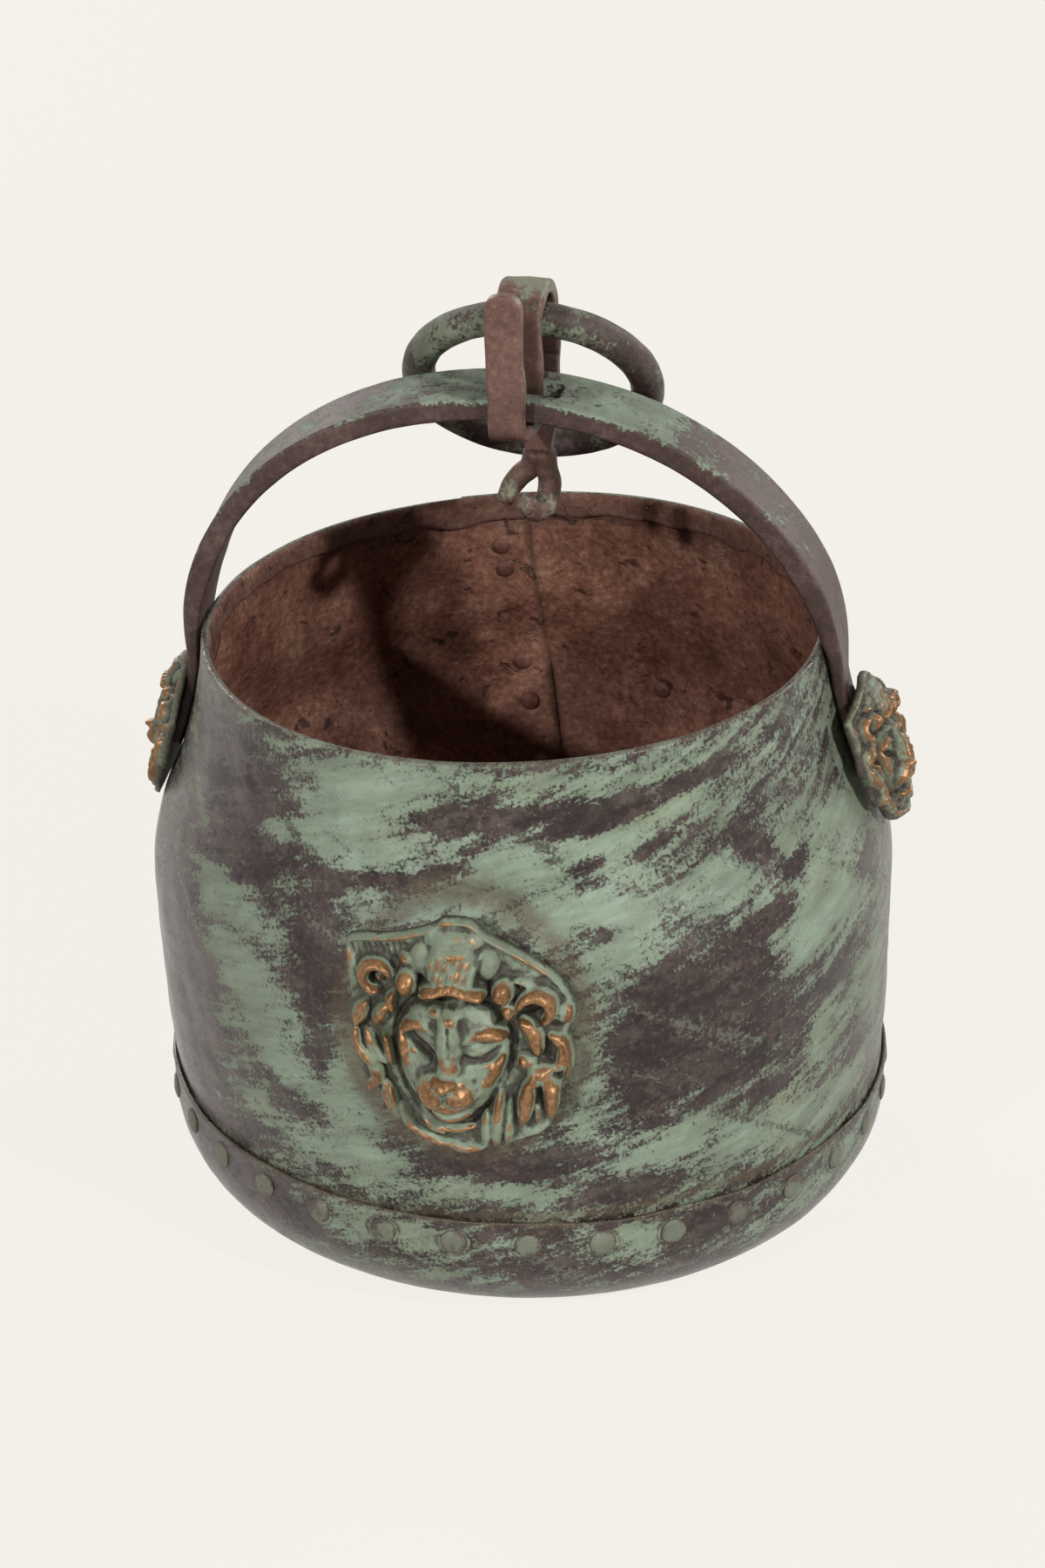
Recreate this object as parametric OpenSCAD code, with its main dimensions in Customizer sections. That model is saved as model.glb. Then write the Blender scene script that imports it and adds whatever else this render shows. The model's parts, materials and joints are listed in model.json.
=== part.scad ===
// Riveted sheet-iron bucket with a fixed forged bail, a hook strap with a carrying ring
// and three cast lion masks. Millimetres, +Z up. The origin is the middle of the base, on
// the floor. The large mask faces the front (-Y) and the bail spans the mouth along X.

/* [Pan] */
// Outside diameter of the pan's upturned flange
pan_d = 340; // [290:1:410]
// Height of the flange's top edge above the floor
pan_h = 62; // [56:1:76]
// Outside radius of the bend between the flat base and the flange
pan_bend_r = 42; // [30:1:44]
// Thickness of the pan's sheet
pan_t = 2; // [1.5:0.1:3]

/* [Wall] */
// Thickness of the wall's sheet
wall_t = 2; // [1.5:0.1:2.5]
// How far the belly bulges past the pan's flange
belly_bulge = 2; // [0.5:0.5:12]
// Outside diameter at the rim
mouth_d = 286; // [238:1:300]
// Outside diameter where the shoulder turns into the neck
shoulder_d = 320; // [306:1:336]
// Height of the rim above the floor, along the wall's axis
rim_h = 277; // [230:1:334]
// Distance from the rim down to the turn between neck and shoulder
neck_l = 70; // [60:1:84]
// Distance from the rim down to the widest part of the belly
belly_drop = 117; // [105:1:125]
// Depth of the hem folded down inside the rim
hem_l = 12; // [6:1:16]
// Open slit left between the hem and the wall
hem_slit = 0.4; // [0.2:0.1:1]
// How far the wall leans to the left, in degrees
lean = 1.9; // [0:0.1:2]
// Width of the lap where the sheet's two ends overlap, in degrees round the wall
lap_a = 14; // [13:1:18]

/* [Rivets] */
// Number of rivets round the pan
base_rivets = 32; // [24:1:36]
// Height of the pan's rivets above the floor
base_rivet_h = 50; // [46:1:53]
// Head diameter of the pan's rivets
base_head_d = 12.5; // [9:0.5:14]
// Head height of the pan's rivets
base_head_h = 1.6; // [1:0.1:3]
// Head diameter of the seam's rivets
seam_head_d = 10; // [7:0.5:12]
// Head height of the seam's rivets
seam_head_h = 2.6; // [1.5:0.1:4]
// Shank diameter of the pan's and the seam's rivets
shank_d = 5; // [4:0.5:6]
// Shank diameter of the bail's rivets
bail_shank_d = 7; // [5:0.5:9]

/* [Bail] */
// Width of the bail's flat bar
bail_w = 40; // [34:1:46]
// Thickness of the bail's bar over the arch
bail_t = 10.4; // [8:0.2:13]
// Height of the bail's crown above the rim
bail_rise = 115; // [95:1:140]
// Distance from the rim down to where the bar has become the foot's tab
foot_drop = 22; // [18:1:26]
// Distance from the rim down to the tab's round end
tab_drop = 70; // [64:1:76]
// Width of the foot's tab
tab_w = 27; // [22:1:32]
// Thickness of the foot's tab
tab_t = 5; // [3.5:0.5:7]
// Length of the slot punched in the crown
slot_l = 33; // [30:1:40]
// Width of the slot punched in the crown
slot_w = 16; // [13:1:18]

/* [Hook strap] */
// Width of the strap
hook_w = 23; // [18:1:26]
// Thickness of the strap
hook_t = 7; // [5:0.5:8]
// Sideways place of the strap on the crown
hook_x = 7; // [0:1:12]
// Turn of the strap about the vertical, in degrees
hook_yaw = 6; // [0:1:8]
// Height of the strap's loop above the bail's crown
loop_rise = 45.5; // [43:0.5:60]
// Height of the strap's front end above the bail's crown
tip_rise = 51; // [40:1:60]
// Depth of the strap's curled tails below the bail's crown
tail_drop = 77; // [70:1:90]

/* [Ring] */
// Outside diameter of the ring
ring_d = 123; // [112:1:140]
// Diameter of the ring's bar
ring_bar_d = 15.8; // [12:0.2:17]
// Angle between the hanging ring and the vertical, in degrees
ring_rest = 36.3; // [33:0.1:48]

/* [Lion masks] */
// Height of the front mask
front_mask_h = 114; // [96:1:124]
// Width of the front mask
front_mask_w = 100; // [84:1:110]
// How far the front mask stands out from the belly
front_mask_out = 26; // [22:1:34]
// Height of each side mask
side_mask_h = 72; // [60:1:76]
// Width of each side mask
side_mask_w = 62; // [52:1:68]
// How far each side mask stands out from its seat
side_mask_out = 16; // [13:1:24]
// How much further the right mask stands off the wall than the left one
right_mask_off = 6; // [0:0.5:8]
// Distance from the rim down to the middle of the side masks
side_mask_drop = 56; // [52:1:60]

/* [Fits] */
// Clearance between faces that lie against each other
seat_gap = 0.3; // [0.1:0.05:0.5]
// Radial clearance round a rivet or stud
hole_gap = 0.15; // [0.05:0.05:0.4]
// Play of the ring's bar inside the strap's loop
ring_play = 0.65; // [0.5:0.05:2]

/* [Hidden] */
$fn = 96;
cut = 1;                                   // overshoot of every cut past a face

// wall profile, as radii and heights of the sheet's middle line
pan_r = pan_d / 2;
skirt_r = pan_r - pan_t - 1.4;
skirt_z = pan_h - 24;                      // lower edge of the skirt inside the pan
skirt_taper = 0.7;
skirt_top = pan_h + 7;
belly_r = pan_r + belly_bulge - wall_t / 2;
belly_z = rim_h - belly_drop;
neck_r = shoulder_d / 2 - wall_t / 2;
neck_z = rim_h - neck_l;
rim_r = mouth_d / 2 - wall_t / 2;
fold_r = (wall_t + hem_slit) / 2;
fold_z = rim_h - fold_r - wall_t / 2;
neck_run = rim_h - neck_z;

// the sheet's middle line, from the skirt's lower edge up to the rim and down the hem
wall_path = concat(
    [[skirt_r - skirt_taper, skirt_z], [skirt_r, pan_h], [skirt_r, skirt_top]],
    curve([skirt_r, skirt_top], [skirt_r + 2.6, skirt_top + 7],
          [belly_r, (skirt_top + belly_z) / 2], [belly_r, belly_z], 8),
    curve([belly_r, belly_z], [belly_r, belly_z + 0.47 * (neck_z - belly_z)],
          [neck_r + 4.5, neck_z - 9], [neck_r, neck_z], 8),
    curve([neck_r, neck_z], [neck_r - 6.5, neck_z + 0.19 * neck_run],
          [rim_r + 2, rim_h - 0.39 * neck_run], [rim_r, fold_z], 9),
    [for (p = arc([rim_r - fold_r, fold_z], fold_r, 30, 180, 5)) p],
    [[rim_r - 2 * fold_r + 0.11 * hem_l, rim_h - hem_l]]);

wall_table = [for (p = wall_path) if (p.x > rim_r - 0.01 && p.y <= fold_z) [p.y, p.x]];

// bail
crown_z = rim_h + bail_rise;               // top face of the crown
under_z = crown_z - bail_t;                // under face of the crown
spring_z = rim_h - foot_drop;
taper_z = spring_z + 45;                   // above this the bar has its full thickness
tab_end_z = rim_h - tab_drop;
slot_x = hook_x + 2;
slot_y = -2;

// ring
ring_mid_r = (ring_d - ring_bar_d) / 2;

// hook strap, in its own plane: y and z of the strap's middle line
crown_sag = arch_b() * (1 - sqrt(1 - pow((hook_x + hook_w / 2 + 2) / arch_a(), 2)));
yaw_reach = hook_w / 2 * sin(hook_yaw);
edge_y = bail_w / 2 + yaw_reach + seat_gap + hook_t / 2;
leg_y = slot_y - slot_w / 2 + hook_t / 2 + 2.6;
run_z = under_z - crown_sag - seat_gap - hook_t / 2;
corner_r = hook_t / 2 + 1;
bar_sag = ring_mid_r - sqrt(pow(ring_mid_r, 2) - pow(hook_w / 2, 2));
loop_r = ring_bar_d / 2 + bar_sag + yaw_reach + ring_play + hook_t / 2;
loop_y = leg_y + loop_r;
loop_z = crown_z + loop_rise - loop_r - hook_t / 2;

// rivets
base_pitch = 360 / base_rivets;
base_phase = -2.5;                         // turn of the first rivet from the front
lap_edge = 182;                            // the lap's inner edge, in degrees from the front
seam_marks = [0.13, 0.27, 0.43, 0.54, 0.815, 0.875];
back_rivet_a = 165;
bail_rivet_drops = [33, 58];               // below the rim
bail_head_d = 13;
bail_head_h = 3;

// ---- helpers ----

// Point of a cubic curve through a and d, pulled towards b and c
function bend(a, b, c, d, t) =
    pow(1 - t, 3) * a + 3 * pow(1 - t, 2) * t * b + 3 * (1 - t) * t * t * c + pow(t, 3) * d;

// n points of that curve, leaving its first point to what comes before
function curve(a, b, c, d, n) = [for (i = [1:n]) bend(a, b, c, d, i / n)];

// Points on an arc, centre c, from angle a0 to a1
function arc(c, r, a0, a1, n) =
    [for (i = [0:n]) c + r * [cos(a0 + (a1 - a0) * i / n), sin(a0 + (a1 - a0) * i / n)]];

// Unit normal to the left of a line of points at point i
function normal_at(p, i) =
    let (a = p[max(i - 1, 0)], b = p[min(i + 1, len(p) - 1)], d = [b.x - a.x, b.y - a.y])
    [-d.y, d.x] / norm(d);

// Closed outline of a band of thickness t[i] laid along the points p
function band(p, t) = concat(
    [for (i = [0:len(p) - 1]) [p[i].x, p[i].y] + normal_at(p, i) * t[i] / 2],
    [for (i = [len(p) - 1:-1:0]) [p[i].x, p[i].y] - normal_at(p, i) * t[i] / 2]);

function even(p, t) = [for (q = p) t];

// Everything above the pan leans to the left about the flange's top edge
module leaned() {
    translate([0, 0, pan_h]) rotate([0, -lean, 0]) translate([0, 0, -pan_h]) children();
}

// Puts local +Z out of the wall's outer face, local +Y up, at angle a and height z
module on_wall(a, z) {
    rotate([0, 0, a]) translate([0, -wall_out(z), z]) rotate([90 - wall_tilt(z), 0, 0])
        children();
}

// Low domed rivet along local -Z: head on z = 0, formed tail beyond the grip
module rivet(head_d, head_h, d, grip) {
    head = dome(head_d, head_h);
    tail = [for (i = [len(head) - 1:-1:0]) [head[i].x, -grip - head[i].y]];
    rotate_extrude() polygon(concat([[d / 2, 0]], head, tail, [[d / 2, -grip]]));
}

function dome(d, h) = [for (a = [0:22.5:90]) [d / 2 * cos(a), h * sin(a)]];

// ---- pan ----

pan_outline = concat(
    [[0, 0]], arc([pan_r - pan_bend_r, pan_bend_r], pan_bend_r, -90, 0, 14),
    [[pan_r, pan_h], [pan_r - pan_t, pan_h]],
    arc([pan_r - pan_bend_r, pan_bend_r], pan_bend_r - pan_t, 0, -90, 14), [[0, pan_t]]);

module base_pan() {
    color("#6b5f5c") difference() {
        rotate_extrude() polygon(pan_outline);
        base_holes();
    }
}

module at_base_rivets() {
    for (i = [0:base_rivets - 1])
        rotate([0, 0, base_phase + i * base_pitch])
            translate([0, -pan_r, base_rivet_h]) rotate([90, 0, 0]) children();
}

module base_holes() {
    at_base_rivets() translate([0, 0, -12]) cylinder(r = shank_d / 2 + hole_gap, h = 16, $fn = 32);
}

// ---- wall ----

function wall_mid(z) = lookup(z, wall_table);
function wall_tilt(z) = atan((wall_mid(z - 3) - wall_mid(z + 3)) / 6);
function wall_out(z) = wall_mid(z) + wall_t / 2 / cos(wall_tilt(z));

// Second thickness of sheet inside the wall, where its ends overlap
module lap() {
    path = [for (p = wall_path) if (p.y >= skirt_top && p.y < rim_h - hem_l - 2) p];
    rotate([0, 0, lap_edge - 90]) rotate_extrude(angle = lap_a)
        polygon(band([for (p = path) [p.x - wall_t + 0.05, p.y]], even(path, wall_t)));
}

function seam_z(mark) = pan_h + mark * (rim_h - pan_h);
function seam_a(mark) = lap_edge + lap_a * (0.14 + 0.67 * mark);

module at_seam_rivets() {
    for (m = seam_marks) on_wall(seam_a(m), seam_z(m)) children();
}

module at_back_rivet() {
    on_wall(back_rivet_a, belly_z + 5) children();
}

module wall_shell() {
    color("#7f9585") difference() {
        leaned() difference() {
            union() {
                rotate_extrude() polygon(band(wall_path, even(wall_path, wall_t)));
                lap();
            }
            at_seam_rivets() hole(shank_d, 8);
            at_back_rivet() hole(shank_d, 8);
            at_bail_rivets() hole(bail_shank_d, 12);
            front_studs() hole(stud_d, 10);
            side_studs(1) hole(stud_d, 14);
            side_studs(-1) hole(stud_d, 14);
        }
        base_holes();
    }
}

module hole(d, h) {
    translate([0, 0, -h]) cylinder(r = d / 2 + hole_gap, h = 2 * h, $fn = 32);
}

// ---- rivets ----

// The skirt tapers and leans, so each tail is set for the edge where the wall comes furthest in
function skirt_in(z, a) = (pan_h - z) * (skirt_taper / 24 - sin(lean) * sin(a));

function base_grip(a) =
    pan_r - skirt_r + wall_t / 2 + pow(base_head_d, 2) / (8 * skirt_r) + hole_gap
    + max(skirt_in(base_rivet_h - base_head_d / 2, a), skirt_in(base_rivet_h + base_head_d / 2, a));

module base_rivets() {
    color("#7a8578") for (i = [0:base_rivets - 1]) let (a = base_phase + i * base_pitch)
        rotate([0, 0, a]) translate([0, -pan_r - 0.05, base_rivet_h]) rotate([90, 0, 0])
            rivet(base_head_d, base_head_h, shank_d, base_grip(a) + 0.05);
}

seam_grip = 2 * wall_t + 0.3;

module seam_rivets() {
    color("#6e5148") leaned() at_seam_rivets() translate([0, 0, 0.1])
        rivet(seam_head_d, seam_head_h, shank_d, seam_grip);
}

module back_rivet() {
    color("#6e5148") leaned() at_back_rivet() translate([0, 0, 0.1])
        rivet(seam_head_d, seam_head_h, shank_d, wall_t + 0.3);
}

// ---- bail ----

function arch_a() = wall_out(spring_z) + seat_gap + tab_t / 2;
function arch_b() = crown_z - bail_t / 2 - spring_z;
function bar_t(z) = tab_t + (bail_t - tab_t) * max(0, min(1, (z - spring_z) / (taper_z - spring_z)));

// Right half of the bail's middle line, from the crown down to the tab's end
half_arch = [for (a = [86:-4:2]) [arch_a() * cos(a), spring_z + arch_b() * sin(a)]];
half_tab = [for (k = [0:8]) let (z = spring_z - 1 - k * (spring_z - 1 - tab_end_z) / 8,
                                 s = wall_tilt(z), o = seat_gap + tab_t / 2)
            [wall_out(z) + o * cos(s), z + o * sin(s)]];
half_bail = concat(half_arch, half_tab);
bail_path = concat(
    [for (i = [len(half_bail) - 1:-1:0]) [-half_bail[i].x, half_bail[i].y]],
    [[0, crown_z - bail_t / 2]], half_bail);

// Outline of the bail seen along X: full width over the arch, narrow tabs with round ends
module bail_side() {
    tab_r = tab_w / 2;
    union() {
        polygon([[-bail_w / 2, crown_z + cut], [-bail_w / 2, taper_z - 12],
                 [-tab_r, spring_z], [-tab_r, tab_end_z + tab_r],
                 [tab_r, tab_end_z + tab_r], [tab_r, spring_z],
                 [bail_w / 2, taper_z - 12], [bail_w / 2, crown_z + cut]]);
        translate([0, tab_end_z + tab_r]) circle(r = tab_r);
    }
}

module bail() {
    reach = pan_d;
    color("#5f5049") leaned() difference() {
        intersection() {
            translate([0, bail_w / 2 + cut, 0]) rotate([90, 0, 0])
                linear_extrude(bail_w + 2 * cut)
                    polygon(band(bail_path, [for (p = bail_path) bar_t(p.y)]));
            translate([-reach / 2, 0, 0]) rotate([90, 0, 90]) linear_extrude(reach) bail_side();
        }
        translate([slot_x - slot_l / 2, slot_y - slot_w / 2, under_z - 2 * cut])
            cube([slot_l, slot_w, bail_t + 4 * cut]);
        at_bail_rivets() hole(bail_shank_d, 12);
    }
}

module at_bail_rivets() {
    for (side = [-90, 90], drop = bail_rivet_drops) on_wall(side, rim_h - drop) children();
}

module bail_rivets() {
    color("#66574e") leaned() at_bail_rivets() translate([0, 0, seat_gap + tab_t + 0.15])
        rivet(bail_head_d, bail_head_h, bail_shank_d, seat_gap + tab_t + wall_t + 0.55);
}

// ---- hook strap ----

strap_path = concat(
    [[-edge_y, crown_z + tip_rise]],
    arc([-edge_y + corner_r, run_z + corner_r], corner_r, 180, 270, 5),
    arc([leg_y - corner_r, run_z + corner_r], corner_r, -90, 0, 5),
    arc([loop_y, loop_z], loop_r, 180, 0, 14),
    curve([loop_y + loop_r, loop_z], [loop_y + loop_r, crown_z + 20],
          [edge_y, crown_z + 20], [edge_y, crown_z + 4], 6),
    [[edge_y, crown_z - tail_drop / 2]]);

// Front view of the strap: the corners of its upper end are rounded
module strap_front() {
    r = hook_w * 0.4;
    side = hook_w / 2;
    low = crown_z - tail_drop / 2;
    high = crown_z + tip_rise;
    polygon(concat([[-side, low], [side, low]], arc([side - r, high - r], r, 0, 90, 8),
                   arc([r - side, high - r], r, 90, 180, 8)));
}

// Round bar through a list of points, with a slight knuckle at each
module rod(points, d) {
    for (i = [1:len(points) - 1]) translate(points[i]) sphere(d = d * 1.08, $fn = 32);
    for (i = [1:len(points) - 1]) let (v = points[i] - points[i - 1])
        translate(points[i - 1]) rotate([0, acos(v.z / norm(v)), atan2(v.y, v.x)])
            cylinder(d = d, h = norm(v), $fn = 32);
}

// Round tail that runs down the strap's back, has a slight knuckle and curls up at the front
module curled_tail(x, low_z, d, curl_r, top_z, tip) {
    curl_z = low_z + d / 2 + curl_r;
    translate([x, edge_y, curl_z]) cylinder(d = d * 1.02, h = top_z - curl_z, $fn = 32);
    translate([x, edge_y, curl_z]) sphere(d = d * 1.08, $fn = 32);
    translate([x, edge_y - curl_r, curl_z]) rotate([-90, 0, 90])
        rotate_extrude(angle = 180) translate([curl_r, 0]) circle(d = d, $fn = 32);
    translate([x, edge_y - 2 * curl_r, curl_z - 0.5]) cylinder(d = d * 0.9, h = tip, $fn = 32);
}

module hook_strap() {
    tail_z = crown_z - tail_drop;
    fork_z = tail_z + 44;
    side_tail = [[-4, edge_y, fork_z], [-14, edge_y + 1.5, tail_z + 20], [-16, edge_y - 1, tail_z + 2]];
    color("#7c5c4c") leaned() translate([hook_x, 0, 0]) rotate([0, 0, -hook_yaw]) union() {
        intersection() {
            translate([-hook_w, 0, 0]) rotate([90, 0, 90]) linear_extrude(2 * hook_w)
                polygon(band(strap_path, even(strap_path, hook_t)));
            translate([0, 2 * edge_y, 0]) rotate([90, 0, 0]) linear_extrude(4 * edge_y)
                strap_front();
        }
        curled_tail(3.5, tail_z, 11, 10, fork_z, 6);
        rod(side_tail, 11);
    }
}

// ---- ring ----

module ring() {
    color("#77806f") leaned() translate([hook_x + loop_y * sin(hook_yaw), loop_y * cos(hook_yaw), loop_z])
        rotate([ring_rest, 0, 0]) translate([0, 0, -ring_mid_r]) rotate([90, 0, 0])
            rotate_extrude($fn = 144) translate([ring_mid_r, 0]) circle(d = ring_bar_d, $fn = 48);
}

// ---- lion masks ----

stud_d = 5;
front_stud_a = 8;                          // degrees either side of the mask's middle
side_stud_a = 7.6;
mask_seat = seat_gap + 0.2;
side_z = rim_h - side_mask_drop;
side_tilt = 15.5;                          // lean of the side masks back against the shoulder
side_low = side_mask_h / 2;                // a side mask's lower edge rests on the shoulder
side_seat = wall_out(side_z - side_low * cos(side_tilt)) + 0.5 + seat_gap
            - side_low * sin(side_tilt);

function oval(w, h, n) = [for (i = [0:n - 1]) [w / 2 * sin(i * 360 / n), h / 2 * cos(i * 360 / n)]];

// Mask on the unit plan: local +Z out of the wall, +Y up, back face bent to radius seat_r
module mask_body(w, h, out, seat_r) {
    plate_t = out * 0.34;
    lump_r = w * 0.11;
    lumps = 12;
    intersection() {
        translate([0, 0, -seat_r]) linear_extrude(2 * seat_r) polygon(oval(w, h, 40));
        difference() {
            union() {
                translate([0, h / 2, -seat_r]) rotate([90, 0, 0])
                    cylinder(r = seat_r + plate_t, h = h, $fn = 180);
                translate([0, -h * 0.02, out * 0.72 - w * 0.34]) sphere(r = w * 0.34, $fn = 48);
                translate([0, h * 0.13, out * 0.8 - w * 0.2]) sphere(r = w * 0.2, $fn = 40);
                translate([0, -h * 0.2, out - w * 0.15]) sphere(r = w * 0.15, $fn = 40);
                for (s = [-1, 1]) translate([s * w * 0.2, -h * 0.02, out * 0.74 - w * 0.12])
                    sphere(r = w * 0.12, $fn = 32);
                for (i = [0:lumps - 1]) let (a = (i + 0.5) * 360 / lumps)
                    translate([w * 0.385 * sin(a), h * 0.395 * cos(a), out * 0.6 - lump_r])
                        sphere(r = lump_r, $fn = 28);
            }
            translate([0, h, -seat_r]) rotate([90, 0, 0])
                cylinder(r = seat_r, h = 2 * h, $fn = 180);
        }
    }
}

// Places of the cast studs that hold each mask
module front_studs() {
    for (s = [-1, 1]) on_wall(s * front_stud_a, belly_z) children();
}

module side_studs(side) {
    for (s = [-1, 1]) on_wall(side * 90 + s * side_stud_a, side_z) children();
}

// Stud from the mask through the wall, peened over inside
module stud(reach) {
    peen_d = 9;
    peen_h = 2;
    back = wall_t + 0.2;
    translate([0, 0, -back - cut]) cylinder(d = stud_d, h = reach + back + cut, $fn = 32);
    translate([0, 0, -back]) mirror([0, 0, 1]) rotate_extrude($fn = 48)
        polygon(concat([[0, 0]], dome(peen_d, peen_h)));
}

module lion_mask_front() {
    seat_r = wall_out(belly_z) + mask_seat;
    color("#a9763f") leaned() union() {
        translate([0, -seat_r, belly_z]) rotate([90, 0, 0])
            mask_body(front_mask_w, front_mask_h, front_mask_out, seat_r);
        front_studs() stud(mask_seat + front_mask_out * 0.2);
    }
}

// Hollow in a side mask's back that clears the bail's tab and its rivets
module tab_pocket() {
    reach = seat_gap + tab_t + bail_head_h + 0.7;
    low = tab_end_z - 1;
    steps = 8;
    w = tab_w + 2;
    translate([0, w / 2, 0]) rotate([90, 0, 0]) linear_extrude(w)
        polygon(concat([[rim_r / 2, rim_h], [rim_r / 2, low]],
                       [for (i = [0:steps]) let (z = low + i * (rim_h - low) / steps)
                           [wall_out(z) + reach, z]]));
}

module side_mask(side, seat) {
    color("#a9763f") leaned() union() {
        difference() {
            rotate([0, 0, side * 90]) translate([0, -seat, side_z]) rotate([90 - side_tilt, 0, 0])
                mask_body(side_mask_w, side_mask_h, side_mask_out, seat);
            rotate([0, 0, 90 - side * 90]) tab_pocket();
        }
        side_studs(side) stud(seat - wall_out(side_z) + side_mask_out * 0.25);
    }
}

module lion_mask_left() {
    side_mask(-1, side_seat);
}

module lion_mask_right() {
    side_mask(1, side_seat + right_mask_off);
}

base_pan();
wall_shell();
base_rivets();
seam_rivets();
back_rivet();
bail();
bail_rivets();
lion_mask_front();
lion_mask_left();
lion_mask_right();
hook_strap();
ring();
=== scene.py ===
"""Looks of a riveted iron bucket: worn paint, rust and old brass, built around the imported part.

Sizes are in millimetres until a mesh is made. The wall, the bail, the strap, the ring and the masks
all stand on the pan and share its small lean, which comes from the ring's hinge axis.
Turns round the bucket are in degrees from the front (-Y), growing towards +X.
"""

import json
import logging
import math
from dataclasses import dataclass, field
from enum import Enum
from typing import Optional, Sequence, Union

import bmesh
import bpy
import numpy as np
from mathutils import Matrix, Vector


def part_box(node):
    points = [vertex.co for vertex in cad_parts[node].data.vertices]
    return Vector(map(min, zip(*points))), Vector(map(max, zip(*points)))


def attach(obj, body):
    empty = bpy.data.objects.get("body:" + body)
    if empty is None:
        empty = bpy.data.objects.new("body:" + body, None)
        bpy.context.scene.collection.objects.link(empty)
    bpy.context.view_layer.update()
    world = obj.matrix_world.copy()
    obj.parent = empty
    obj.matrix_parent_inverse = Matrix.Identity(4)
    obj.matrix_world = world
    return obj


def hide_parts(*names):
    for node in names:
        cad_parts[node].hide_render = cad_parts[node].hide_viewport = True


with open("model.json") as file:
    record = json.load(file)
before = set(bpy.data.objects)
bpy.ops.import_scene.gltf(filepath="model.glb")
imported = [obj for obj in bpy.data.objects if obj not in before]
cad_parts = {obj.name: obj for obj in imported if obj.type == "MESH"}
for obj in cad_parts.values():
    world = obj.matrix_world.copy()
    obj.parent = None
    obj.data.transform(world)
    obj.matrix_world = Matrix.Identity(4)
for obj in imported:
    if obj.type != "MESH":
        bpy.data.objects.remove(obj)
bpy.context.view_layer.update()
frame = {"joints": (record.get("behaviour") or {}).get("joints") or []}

log = logging.getLogger("bucket")
MM = 0.001
Points = np.ndarray
Socket = bpy.types.NodeSocket
Value = Union[float, Sequence[float], Socket]


def colour(red: float, green: float, blue: float) -> tuple[float, float, float, float]:
    """Linear colour with alpha from three display values of 0 to 255."""
    linear = [(c / 255 / 12.92) if c < 10.3 else ((c / 255 + 0.055) / 1.055) ** 2.4
              for c in (red, green, blue)]
    return (linear[0], linear[1], linear[2], 1.0)


def corner(node: str, high: bool) -> Points:
    """Lowest or highest corner of a CAD node in millimetres."""
    return np.array(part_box(node)[1 if high else 0]) / MM


PAN_R = float(corner("base_pan", True)[0])
FLAT_R = 0.17  # radius in metres at which the sheets' flat coordinates are measured
STROKE_COVER = 0.66  # share of a stroke's strength that reaches the paint


# ---------------------------------------------------------------- shapes

def bend(a: Sequence[float], b: Sequence[float], c: Sequence[float], d: Sequence[float],
         count: int) -> Points:
    """Points of a cubic curve through a and d, pulled towards b and c.

    Args:
        a: first end.
        b: pull at the first end.
        c: pull at the second end.
        d: second end.
        count: number of points after the first end.

    Returns:
        The points, without the first end.
    """
    t = np.linspace(0, 1, count + 1)[1:, None]
    a, b, c, d = (np.array(p, float) for p in (a, b, c, d))
    return (1 - t) ** 3 * a + 3 * (1 - t) ** 2 * t * b + 3 * (1 - t) * t ** 2 * c + t ** 3 * d


def arc(centre: Sequence[float], radius: float, start: float, end: float, count: int) -> Points:
    """Points on a flat arc, from start to end degrees, both ends included."""
    t = np.radians(np.linspace(start, end, count + 1))
    return np.array(centre, float) + radius * np.stack([np.cos(t), np.sin(t)], 1)


def reached(path: Points) -> Points:
    """Length of a line of points up to each of them."""
    return np.concatenate([[0], np.cumsum(np.linalg.norm(np.diff(path, axis=0), axis=1))])


def headings(path: Points) -> Points:
    """Unit direction of a line at each of its points."""
    way = np.gradient(path, axis=0)
    return way / np.linalg.norm(way, axis=1)[:, None]


def spun(a: Points, b: Points, degrees: float) -> tuple[Points, Points]:
    """Two coordinates after a turn from the first towards the second."""
    c, s = math.cos(math.radians(degrees)), math.sin(math.radians(degrees))
    return a * c - b * s, a * s + b * c


def round_grid(turn: Points, radius: Union[float, Points], height: Points) -> Points:
    """Points at turns in radians from the front, radii and heights."""
    return np.stack([radius * np.sin(turn), -radius * np.cos(turn), height], 2)


def resample(path: Points, step: float) -> Points:
    """The same line of points, spaced evenly at about step."""
    reach = reached(path)
    marks = np.linspace(0, reach[-1], max(int(round(reach[-1] / step)), 2) + 1)
    return np.stack([np.interp(marks, reach, path[:, k]) for k in range(path.shape[1])], 1)


def smooth_line(points: Sequence[Sequence[float]], step: float) -> Points:
    """A smooth curve through a few points, spaced evenly at about step.

    Args:
        points: the few points.
        step: spacing.

    Returns:
        Points of the curve.
    """
    p = np.array(points, float)
    p = np.vstack([2 * p[0] - p[1], p, 2 * p[-1] - p[-2]])
    t = np.linspace(0, 1, 12, endpoint=False)[:, None]
    parts = [0.5 * (2 * b + (c - a) * t + (2 * a - 5 * b + 4 * c - d) * t ** 2
                    + (3 * b - a - 3 * c + d) * t ** 3)
             for a, b, c, d in zip(p, p[1:], p[2:], p[3:])]
    return resample(np.vstack(parts + [p[-2:-1]]), step)


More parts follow.
